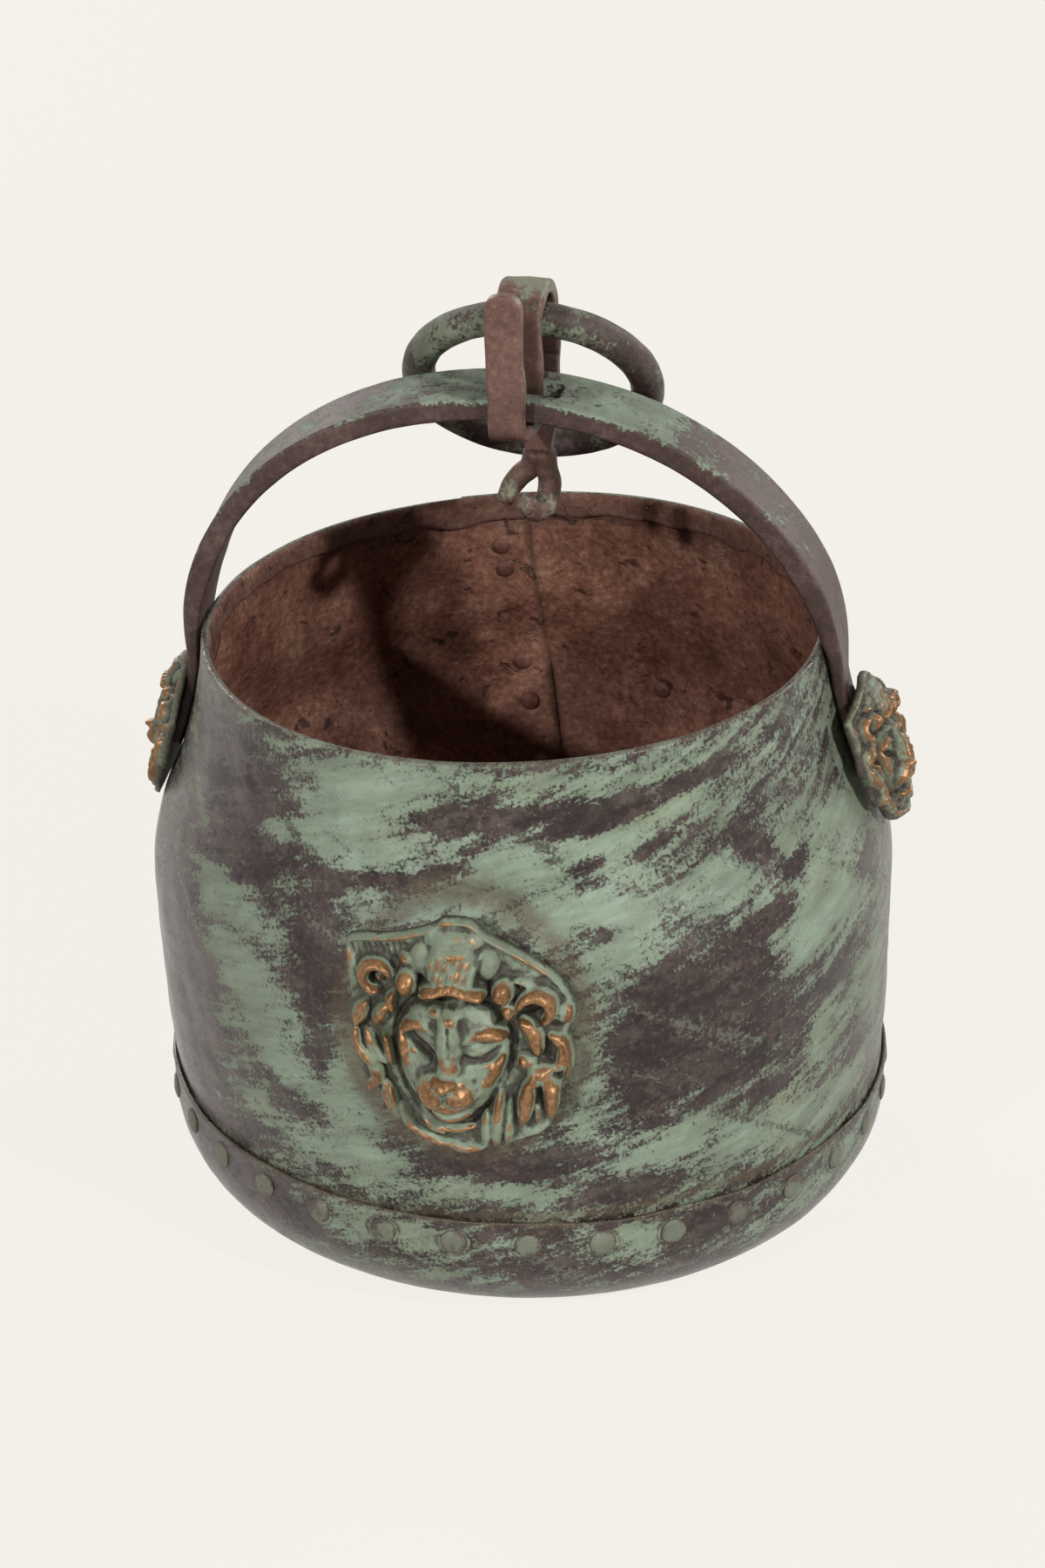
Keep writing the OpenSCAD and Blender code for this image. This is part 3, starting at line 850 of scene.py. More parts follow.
@dataclass
class OldBrass(Finish):
    """Cast brass, bright on its high places, green between them, black-brown in hollows, grimy."""

    grime: float

    def build(self) -> bpy.types.Material:
        """Joins the nodes and returns the material."""
        n, place = self.net, self.place
        crest = n.value_of("crest")
        fine, broad = n.noise(place, 520.0, 5.0, 0.65), n.noise(place, 95.0, 4.0, 0.6)
        high = n.span(n.total((crest, 1.0), (fine, 0.9), (broad, 1.5)), 0.26, 0.5)
        brass = n.ramp(n.total((fine, 1.2), (broad, 0.7), (1.0, 0.5)), (0.2, colour(84, 58, 36)),
                       (0.5, colour(134, 98, 64)), (0.8, colour(176, 134, 92)))
        surface = n.mix(high, self.paint(place, 0.22)["Colour"], brass)
        surface = n.laid(surface, colour(84, 64, 44), 0.5, 0.02, 0.2, (place, 150.0, 5.0, 0.7, 1.0))
        surface = n.laid(surface, colour(70, 54, 40), 0.75, 0.35, 0.75, (broad, 1.2), (fine, 0.8),
                         (crest, -0.3), (1.0, self.grime))
        surface = n.laid(surface, colour(46, 35, 26), 0.6, 0.1, 0.24, (place, 420.0, 5.0, 0.75, 1.0),
                         (crest, -0.14))
        surface = n.laid(surface, colour(42, 33, 26), 0.78, 0.16, 0.6, (crest, -1.0), (fine, 1.0),
                         (broad, 0.8))
        rough = n.total((high, -0.2), (fine, 0.15), (1.0, 0.56))
        height = n.total((fine, 0.5), (broad, 0.5))
        return self.feed(surface, rough, n.math("MULTIPLY", high, 0.55), n.bump(height, 0.0005, 0.7))


@dataclass
class RivetHeads(Finish):
    """Rivets dark at their edge: outside they keep paint and are rubbed, inside they are rusty."""

    side: Side

    def build(self) -> bpy.types.Material:
        """Joins the nodes and returns the material."""
        n, outside = self.net, self.side is Side.OUTSIDE
        grain = self.grain(420.0, 1.2)
        tints = (((56, 43, 40), (88, 76, 70), (122, 112, 100)) if outside
                 else ((70, 42, 34), (106, 70, 58), (150, 116, 100)))
        iron = n.ramp(grain["Tone"], *((at, colour(*tint)) for at, tint in zip((0.2, 0.55, 0.85), tints)))
        crown = n.value_of("crown")
        mask = self.patch(self.place, n.math("MULTIPLY_ADD", crown, 0.7, -0.3), Streak_Scale=60.0,
                          Speck_Scale=600.0, Streak=1.8, Breakup=1.5, Speckle=1.2)["Mask"]
        surface = n.layer(iron, mask, 0.612 if outside else 0.0, self.paint(self.place, 0.35)["Colour"])
        skirt = n.math("SUBTRACT", 1.0, n.span(crown, 0.0, 0.3))
        surface = n.layer(surface, skirt, 0.8, colour(50, 38, 30))
        rough = n.total((mask, 0.12), (1.0, 0.48))
        return self.feed(surface, rough, 0.15, n.bump(grain["Height"], 0.0008, 0.8))


# ---------------------------------------------------------------- wall

@dataclass(frozen=True)
class Stroke:
    """One brushed patch: more paint where amount is above zero, bare iron below it."""

    turn: float
    rise: float
    half_length: float
    half_width: float
    slope: float
    amount: float

    def value(self, turn: Points, rise: Points, radius: float) -> Points:
        """Its share at each place on the wall.

        Args:
            turn: degrees round the bucket.
            rise: heights.
            radius: radius that turns degrees into lengths.

        Returns:
            Paint that it adds.
        """
        across = np.radians((turn - self.turn + 180) % 360 - 180) * radius
        along, off = spun(across, rise - self.rise, -self.slope)
        q = (along / self.half_length) ** 2 + (off / self.half_width) ** 2
        return self.amount * np.exp(-q ** 1.5)


# turn, rise, half length, half width, slope, amount: the painted and the bare patches, front first
STROKES = tuple(Stroke(*row) for row in (
    (-15, 262, 34, 13, 4, 1.0), (8, 268, 42, 5, 0, 0.5), (-18, 240, 30, 16, 0, 0.9),
    (-32, 232, 22, 5, 8, 0.8), (14, 232, 46, 9, 6, 1.0), (34, 246, 30, 5, 10, 0.7),
    (34, 266, 34, 7, 6, 0.6), (20, 209, 30, 9, 8, 1.1), (46, 209, 44, 11, 4, 1.0),
    (24, 194, 16, 12, -10, 1.0), (62, 176, 40, 15, 10, 1.1), (72, 205, 34, 12, 4, 0.8),
    (-2, 214, 40, 8, 4, 0.9), (-44, 192, 36, 8, -6, 0.9), (-37, 164, 34, 12, -22, 0.9),
    (-30, 130, 42, 12, -40, 0.7), (-17, 122, 12, 26, 0, 0.9), (-16, 86, 26, 12, -14, 0.7),
    (-32, 92, 26, 8, -14, 0.5), (31, 93, 30, 9, 10, 1.0), (47, 84, 32, 9, 4, 1.2),
    (64, 76, 34, 10, 8, 0.9), (5, 76, 34, 6, 0, 0.5), (74, 130, 22, 26, 40, 0.7),
    (60, 118, 18, 14, 50, 0.6), (-55, 256, 40, 3, -24, 0.7), (-62, 226, 34, 3, -30, 0.7),
    (17, 160, 10, 40, 10, 0.5), (20, 112, 16, 16, 0, 0.35), (85, 226, 20, 26, 0, 0.6),
    (0, 251, 38, 6, 2, -1.0), (24, 250, 34, 8, 8, -1.3), (40, 258, 30, 4, 6, -0.9),
    (-2, 228, 11, 4, 6, -1.6), (20, 229, 10, 4, 10, -1.2), (31, 232, 12, 3, 10, -1.0),
    (51, 216, 14, 9, -20, -1.5), (58, 203, 18, 5, 0, -1.0), (21, 201, 16, 5, -14, -1.3),
    (-40, 212, 34, 9, 6, -1.2), (-50, 244, 44, 22, -6, -1.4), (-23, 184, 13, 30, 10, -1.1),
    (-14, 220, 30, 5, 6, -0.7), (36, 166, 40, 15, 4, -1.5), (29, 136, 20, 32, -28, -1.1),
    (46, 132, 34, 28, 0, -0.75), (46, 186, 26, 7, 6, -0.9), (66, 145, 24, 10, 10, -0.8),
    (76, 183, 18, 7, 10, -0.9), (6, 92, 46, 8, 0, -0.9), (-24, 106, 20, 8, -10, -0.6),
    (24, 72, 30, 6, 6, -0.7), (-62, 130, 46, 78, 0, -0.9), (-48, 78, 40, 9, 0, -0.6),
    (128, 228, 60, 12, 6, 0.9), (150, 170, 56, 18, -14, 0.9), (176, 120, 40, 14, 12, 0.8),
    (212, 226, 60, 10, -8, 0.9), (224, 158, 44, 22, 16, 0.8), (250, 196, 40, 12, 8, 0.7),
    (200, 88, 60, 10, 0, 0.9), (120, 96, 44, 16, 10, 0.8), (140, 260, 60, 7, 0, 0.7),
    (232, 262, 50, 6, 0, 0.7), (104, 160, 26, 40, 10, 0.6), (164, 214, 60, 9, 6, -1.0),
    (190, 186, 50, 16, 10, -1.0), (132, 134, 46, 18, -8, -1.1), (236, 118, 60, 22, 6, -1.0),
    (158, 84, 30, 10, 0, -0.8), (270, 240, 30, 30, 0, -0.7)))

PAN_STROKES = tuple(Stroke(*row) for row in (
    (-14, 50, 46, 9, 0, 0.9), (-4, 30, 40, 9, 4, 0.5), (24, 50, 26, 9, 8, 0.9), (66, 48, 56, 10, 4, 0.9),
    (44, 34, 30, 8, 6, 0.4), (-27, 26, 20, 8, 0, 0.4), (150, 48, 60, 10, 0, 0.8),
    (220, 40, 60, 12, 0, 0.7), (10, 36, 20, 5, 0, -0.7), (38, 52, 16, 8, 0, -0.8),
    (-44, 44, 40, 16, -8, -0.8), (100, 50, 26, 12, 0, -0.6), (184, 44, 26, 14, 0, -0.8)))


def painted(strokes: Sequence[Stroke], turn: Points, rise: Points, radius: float,
            start: float) -> Points:
    """Paint cover at each place, from its starting value and every stroke.

    Args:
        strokes: the patches.
        turn: degrees round the bucket.
        rise: heights.
        radius: radius that turns degrees into lengths.
        start: cover where no stroke reaches.

    Returns:
        Cover, about zero at a patch's edge.
    """
    total = np.full(turn.shape, start, float)
    for stroke in strokes:
        total += STROKE_COVER * stroke.value(turn, rise, radius)
    return np.clip(total, -1.0, 0.85)


def unrolled(turn: Points, reach: Points) -> tuple[Points, Points]:
    """Flat coordinates in metres of a round sheet, from its turns and the lengths of its rows."""
    return np.radians(turn)[None] * FLAT_R + 0 * reach[:, None], reach[:, None] * MM + 0 * turn[None]


@dataclass
class Wall:
    """Bellied sheet with a folded rim, hammered by hand, its two ends lapped at the back."""

    pan_t: float = 2.0
    sheet_t: float = 2.0
    belly_d: float = 344.0
    shoulder_d: float = 320.0
    mouth_d: float = 286.0
    rim_h: float = 277.0
    belly_h: float = 160.0
    shoulder_h: float = 207.0
    skirt_h: float = 38.0
    hem_l: float = 12.0
    hem_slit: float = 0.4
    mouth_stretch: float = 2.75
    lap_inner: float = 184.7
    lap_outer: float = 197.0
    lap_slant: float = 4.1
    lap_fade: float = 26.0
    columns: int = 300
    row_step: float = 2.3
    dent: float = 0.55

    def __post_init__(self) -> None:
        """Fits the skirt inside the pan."""
        self.pan_h = LEAN.pivot
        self.skirt_r = PAN_R - self.pan_t - 1.4

    def middle(self) -> tuple[Points, int]:
        """Middle line of the sheet as (radius, height), and where its hem begins.

        Returns:
            The line's points, and the index of the first one of the hem.
        """
        belly_r = self.belly_d / 2 - self.sheet_t / 2
        neck_r = self.shoulder_d / 2 - self.sheet_t / 2
        rim_r = self.mouth_d / 2 - self.sheet_t / 2
        fold_r = (self.sheet_t + self.hem_slit) / 2
        fold_z = self.rim_h - fold_r - self.sheet_t / 2
        top, low, run = self.pan_h + 7, self.skirt_r, self.rim_h - self.shoulder_h
        rise = self.shoulder_h - self.belly_h
        body = np.vstack([
            [(low - 0.7, self.skirt_h), (low, self.pan_h), (low, top)],
            bend((low, top), (low + 2.6, top + 7), (belly_r, (top + self.belly_h) / 2),
                 (belly_r, self.belly_h), 30),
            bend((belly_r, self.belly_h), (belly_r, self.belly_h + 0.47 * rise),
                 (neck_r + 4.5, self.shoulder_h - 9), (neck_r, self.shoulder_h), 24),
            bend((neck_r, self.shoulder_h), (neck_r - 6.5, self.shoulder_h + 0.19 * run),
                 (rim_r + 2, self.rim_h - 0.39 * run), (rim_r, fold_z), 30)])
        body = resample(body, self.row_step)
        fold = arc((rim_r - fold_r, fold_z), fold_r, 0, 180, 6)[1:]
        hem_end = (rim_r - 2 * fold_r - 0.2, self.rim_h - self.hem_l)
        hem = bend(fold[-1], fold[-1] - (0, 3), np.array(hem_end) + (0.5, 3), hem_end, 6)
        return np.vstack([body, fold, hem]), len(body) + 3

    def at(self, rise: Value) -> tuple[Points, Points]:
        """Radius of the sheet's middle and how fast it narrows upwards, at some heights.

        Args:
            rise: heights.

        Returns:
            The radii, and the fall of the radius for each millimetre upwards.
        """
        mid, _ = self.middle()
        body = mid[:np.argmax(mid[:, 1])]
        below, here, above = (np.interp(rise + step, body[:, 1], body[:, 0]) for step in (-3, 0, 3))
        return here, (below - above) / 6

    def turns(self) -> Points:
        """Degrees of the columns, with a close pair at each end of the lapped sheet."""
        marks = np.array([self.lap_inner, self.lap_outer])
        even = np.linspace(0, 360, self.columns, endpoint=False)
        even = even[np.abs(even[:, None] - marks).min(1) > 0.4]
        return np.sort(np.concatenate([even, marks - 0.04, marks + 0.04]))

    def slanted(self, turn: Points, rise: Points) -> Points:
        """Turns after the lap's slant, which fades out away from it."""
        window = np.cos(np.clip((turn - 190) / 60, -1, 1) * math.pi / 2) ** 2
        return turn + self.lap_slant * np.clip((rise - 189) / 140, -0.9, 0.62) * window

    def lap_drops(self, turn: Points) -> tuple[Points, Points]:
        """How far the lap moves the outer and the inner face towards the middle.

        Args:
            turn: degrees of the columns.

        Returns:
            Depth for the outer face and for the inner one.
        """
        past = ease(turn, self.lap_outer, self.lap_outer + self.lap_fade)
        outer = np.where(turn > self.lap_outer, (1 - past), 0.0) * self.sheet_t
        inner = np.where(turn > self.lap_inner, np.where(turn > self.lap_outer, 1 - past, 1.0), 0.0)
        return outer * 0.8, inner * self.sheet_t

    def surface(self, turn: Points, mid: Points, out: Points, side: float, hem: Points) -> Points:
        """Places of one face of the sheet.

        Args:
            turn: degrees of the columns.
            mid: middle line, one (radius, height) for each row.
            out: the middle line's outward normals.
            side: 1 for the outer face, -1 for the inner.
            hem: how much each row belongs to the fold and hem, 0 to 1.

        Returns:
            Grid of points, not yet leaned.
        """
        rise = mid[:, 1:2] + 0 * turn[None]
        spin = self.slanted(turn[None] + 0 * rise, rise)
        rad = np.radians(spin)
        neck = ease(rise, self.shoulder_h - 6, self.rim_h)
        stretch = self.mouth_stretch * (1 + np.cos(2 * rad)) * neck
        flat = round_grid(rad, 170, rise).reshape(-1, 3)
        calm = ease(rise, self.pan_h - 4, self.pan_h + 26) * (1 - 0.65 * ease(rise, 255, 277))
        dents = (waves(flat, 62, 3) * 0.6 + waves(flat, 26, 4) * 0.4).reshape(rise.shape)
        dents = dents * self.dent * calm - 0.3 * calm
        feet = np.exp(-((np.abs(np.cos(rad)) / 0.12) ** 2)) * ease(rise, 200, 214)
        dents = dents * (1 - feet)
        lift = 2.6 * np.clip(np.cos(rad - math.radians(140)), 0, 1) ** 2 * neck
        lift = lift + 0.5 * np.sin(3 * rad + 1) * neck
        outer, inner = self.lap_drops(turn)
        drop = np.where(side > 0, outer, inner)[None] * (1 - hem[:, None])
        ragged = hem[:, None] * waves(flat, 34, 9).reshape(rise.shape)
        ragged = ragged * ease(hem[:, None] + 0 * rise, 0.4, 1.0)
        half = side * self.sheet_t / 2
        radius = mid[:, 0:1] + out[:, 0:1] * half + stretch + dents - drop - 0.35 * np.abs(ragged)
        height = mid[:, 1:2] + out[:, 1:2] * half + lift + 1.3 * ragged
        return round_grid(rad, radius, height)

    def stains(self, turn: Points, rise: Points) -> Points:
        """Brown stain along the pan's lip, the rim, round the front mask and under the bail's feet.

        Args:
            turn: degrees round the bucket.
            rise: heights.

        Returns:
            Strength of the stain, 0 to about 1.
        """
        across = np.radians((turn + 180) % 360 - 180) * 171
        mask_ring = np.hypot(across / 54, (rise - 160) / 60)
        halo = np.exp(-((mask_ring - 1.0) / 0.16) ** 2) * 0.85
        lip = np.exp(-((rise - self.pan_h - 1) / 3.5) ** 2) * 0.8
        rim = ease(rise, self.rim_h - 3.5, self.rim_h - 0.5) * 0.75
        foot = np.abs(np.abs((turn + 180) % 360 - 180) - 90) * 2.8
        feet = np.exp(-(foot / 19) ** 4) * ease(rise, 196, 214) * 0.7
        seam = np.exp(-((turn - self.lap_outer - 0.6) / 1.1) ** 2) * 0.8
        return np.clip(halo + lip + rim + feet + seam, 0, 1)

    def build(self, outside: bpy.types.Material, inside: bpy.types.Material) -> bpy.types.Object:
        """Builds the wall and dresses it.

        Args:
            outside: finish of the outer face.
            inside: finish of the inner face.

        Returns:
            The wall.
        """
        mid, hem_row = self.middle()
        way = headings(mid)
        out = np.stack([way[:, 1], -way[:, 0]], 1)
        turn = self.turns()
        hem = ease(np.arange(len(mid)).astype(float), hem_row - 4, hem_row + 6)
        outer = self.surface(turn, mid, out, 1.0, hem)
        inner = self.surface(turn, mid, out, -1.0, hem)[::-1]
        grid = np.concatenate([outer, inner])
        reach = reached(mid)
        flat = unrolled(np.append(turn, turn[0] + 360), np.concatenate([reach, reach[::-1], reach[:1]]))
        rise = np.concatenate([mid[:, 1], mid[::-1, 1]])[:, None] + 0 * turn[None]
        spin = self.slanted(turn[None] + 0 * rise, rise)
        wrapped = (spin + 180) % 360 - 180
        # grey haze, partly a painted sheen, strongest near the left and right sides where the wall turns away
        haze_and_sheen = np.exp(-((wrapped + 66) / 26) ** 2) + 0.7 * np.exp(-((wrapped - 88) / 16) ** 2)
        inner_row = (np.arange(len(grid)) >= hem_row).astype(int)
        tail = np.where(inner_row[:, None] > 0, 0.0, 1.0)
        stain_and_shade = self.stains(wrapped % 360, rise)
        # inside: painted shade under the rim's fold and over the hem, and a stain along the lap's inner edge
        shade_under_rim = np.exp(-((rise - (self.rim_h - self.hem_l)) / 5) ** 2) * 0.7 + (rise > 266) * 0.5
        inner_seam = 0.85 * np.exp(-((turn[None] - self.lap_inner) / 0.6) ** 2)
        stain_and_shade = np.where(tail > 0, stain_and_shade, np.clip(shade_under_rim + inner_seam, 0, 1))
        skin = Skin(LEAN.place(grid), wrap_rows=True, flat=flat,
                    values={"paint": painted(STROKES, wrapped, rise, 171, 0.02), "haze_and_sheen": haze_and_sheen,
                            "stain_and_shade": stain_and_shade}, inner=inner_row)
        piece = skin.build("wall", outside, inside)
        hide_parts("wall_shell")
        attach(piece, "bucket")
        return piece


@dataclass
class Pan:
    """Dished base whose uneven lip stands round the wall's skirt."""

    bend_r: float = 48.0
    rivet_h: float = 50.0
    rivet_count: int = 32
    rivet_phase: float = -2.5
    sheet_t: float = 2.0
    lip_wave: float = 0.9
    columns: int = 288
    row_step: float = 2.6
    dent: float = 0.35

    def rivet_row(self) -> RivetRow:
        """The row of base rivets on the pan's flattened side."""
        up = PAN_R + self.bend_r * (math.pi / 2 - 2) + self.rivet_h
        return RivetRow(2 * math.pi * FLAT_R / self.rivet_count, math.radians(self.rivet_phase) * FLAT_R,
                        up * MM)

    def build(self, outside: bpy.types.Material, inside: bpy.types.Material) -> bpy.types.Object:
        """Builds the pan and dresses it.

        Args:
            outside: finish of the outer face.
            inside: finish of the inner face.

        Returns:
            The pan.
        """
        radius, height, t = PAN_R, LEAN.pivot, self.sheet_t
        centre = (radius - self.bend_r, self.bend_r)
        outer = np.vstack([[(0.001, 0)], arc(centre, self.bend_r, -90, 0, 24), [(radius, height - 0.7)]])
        inner = np.vstack([[(radius - t, height - 0.7)], arc(centre, self.bend_r - t, 0, -90, 24),
                           [(0.001, t)]])
        outer, inner = resample(outer, self.row_step), resample(inner, self.row_step)
        lip = np.array([(radius - 0.25, height - 0.2), (radius - t / 2, height),
                        (radius - t + 0.25, height - 0.2)])
        path = np.vstack([outer, lip, inner])
        turn = np.linspace(0, 360, self.columns, endpoint=False)
        rad = np.radians(turn)[None]
        r, z = path[:, 0:1] + 0 * rad, path[:, 1:2] + 0 * rad
        spots = round_grid(rad, r, z).reshape(-1, 3)
        dents = (waves(spots, 44, 21) * 0.7 + waves(spots, 20, 22) * 0.3).reshape(r.shape) * self.dent
        side = ease(r, radius - self.bend_r, radius) * (1 - ease(z, height - 10, height))
        edge = ease(z, height - 14, height)
        wave = waves(np.stack([np.sin(rad[0]), -np.cos(rad[0])], 1) * radius, 60, 5)[None]
        r = r + (dents - self.dent * 1.2) * side
        z = z + edge * (wave - 1.2) * self.lip_wave * 0.6
        flat = unrolled(np.append(turn, 360), reached(path))
        inner_row = (np.arange(len(path)) > len(outer) + 1).astype(int)
        spin = (turn[None] + 0 * r + 180) % 360 - 180
        # grey haze, partly a painted sheen, on the pan's left side and on its lower curve
        haze_and_sheen = np.exp(-((spin + 60) / 34) ** 2) + 0.6 * (1 - ease(z, 6, 40))
        joint = np.exp(-((z - height) / 3.0) ** 2) * 0.8
        skin = Skin(round_grid(rad, r, z), flat=flat, inner=inner_row,
                    values={"paint": painted(PAN_STROKES, spin, z, radius, -0.2), "haze_and_sheen": haze_and_sheen,
                            "stain_and_shade": joint})
        piece = skin.build("pan", outside, inside)
        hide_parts("base_pan")
        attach(piece, "bucket")
        return piece


# ---------------------------------------------------------------- rivets

@dataclass
class RivetSpot:
    """Where one rivet head sits: its middle, the way it faces, and its size."""

    place: Points
    out: Points
    width: float
    height: float


class RivetMaker:
    """A Geometry Nodes tree that puts an uneven, hammered head at each spot."""

    def __init__(self) -> None:
        """Builds the tree with its named inputs."""
        net, take, outs = new_group(
            "rivet_heads",
            (("Spots", "Geometry", None), ("Unevenness", "Float", None), ("Dent Scale", "Float", None),
             ("Seed", "Int", None), ("Finish", "Material", None)),
            (("Heads", "Geometry"),), "GeometryNodeTree")
        self.tree = net.tree

        def step(kind: str, settings: dict[str, object], **values: object) -> bpy.types.NodeOutputs:
            """Outputs of a new node with its settings and inputs."""
            return net.fill(net.add(kind, **settings), **values).outputs

        head = step("GeometryNodeMeshUVSphere", {}, Segments=18, Rings=9, Radius=1.0)["Mesh"]
        rise = step("ShaderNodeSeparateXYZ", {}, Vector=step("GeometryNodeInputPosition", {})[0])["Z"]
        crown = step("GeometryNodeStoreNamedAttribute", {"data_type": "FLOAT", "domain": "POINT"},
                     Name="crown", Geometry=head, Value=rise)["Geometry"]
        across = net.math("MULTIPLY", self.named(net, "width", "FLOAT"), 0.5)
        size = step("ShaderNodeCombineXYZ", {}, X=across, Y=across, Z=self.named(net, "height", "FLOAT"))[0]
        aim = step("FunctionNodeAlignRotationToVector", {"axis": "Z"},
                   Vector=self.named(net, "out", "FLOAT_VECTOR"))[0]
        spin = step("FunctionNodeRandomValue", {"data_type": "FLOAT"}, Max=2 * math.pi, Seed=take["Seed"])[1]
        turned = step("FunctionNodeRotateRotation", {"rotation_space": "LOCAL"}, Rotation=aim,
                      Rotate_By=step("FunctionNodeAxisAngleToRotation", {}, Angle=spin)[0])[0]
        place = step("GeometryNodeInstanceOnPoints", {}, Points=take["Spots"], Instance=crown,
                     Rotation=turned, Scale=size)[0]
        real = step("GeometryNodeRealizeInstances", {}, Geometry=place)[0]
        dents = step("ShaderNodeTexNoise", {"noise_dimensions": "4D"}, Scale=take["Dent Scale"],
                     W=take["Seed"])["Color"]
        shift = net.add("ShaderNodeVectorMath", operation="SUBTRACT")
        net.put(shift.inputs[0], dents)
        shift.inputs[1].default_value = (0.5, 0.5, 0.5)
        amount = net.add("ShaderNodeVectorMath", operation="SCALE")
        net.put(amount.inputs[0], shift.outputs[0])
        net.put(amount.inputs["Scale"], take["Unevenness"])
        moved = step("GeometryNodeSetPosition", {}, Geometry=real, Offset=amount.outputs[0])[0]
        smooth = step("GeometryNodeSetShadeSmooth", {}, Geometry=moved)[0]
        net.fill(outs, Heads=step("GeometryNodeSetMaterial", {}, Geometry=smooth,
                                  Material=take["Finish"])[0])

    @staticmethod
    def named(net: Net, name: str, kind: str) -> Socket:
        """The value that each spot carries under a name."""
        node = net.add("GeometryNodeInputNamedAttribute", data_type=kind)
        node.inputs["Name"].default_value = name
        return node.outputs["Attribute"]

    def make(self, name: str, spots: Sequence[RivetSpot], seed: int,
             finish: bpy.types.Material) -> bpy.types.Object:
        """Makes the heads at the spots as one plain mesh.

        Args:
            name: name of the piece.
            spots: where the heads sit.
            seed: picks the turns and dents.
            finish: the heads' material.

        Returns:
            The piece.
        """
        mesh = bpy.data.meshes.new(name + "_spots")
        mesh.from_pydata([tuple(s.place * MM) for s in spots], [], [])
        out = mesh.attributes.new("out", "FLOAT_VECTOR", "POINT")
        out.data.foreach_set("vector", np.array([s.out for s in spots], np.float32).ravel())
        for key in ("width", "height"):
            values = mesh.attributes.new(key, "FLOAT", "POINT")
            values.data.foreach_set("value", [getattr(s, key) * MM for s in spots])
        holder = linked(name + "_spots", mesh)
        modifier = holder.modifiers.new("heads", "NODES")
        modifier.node_group = self.tree
        keys = {item.name: item.identifier for item in self.tree.interface.items_tree
                if item.in_out == "INPUT"}
        for key, value in (("Unevenness", 0.0007), ("Dent Scale", 260.0), ("Seed", seed),
                           ("Finish", finish)):
            modifier[keys[key]] = value
        result = worked_out(holder)
        result.name = name
        bpy.data.objects.remove(holder)
        return linked(name, result)


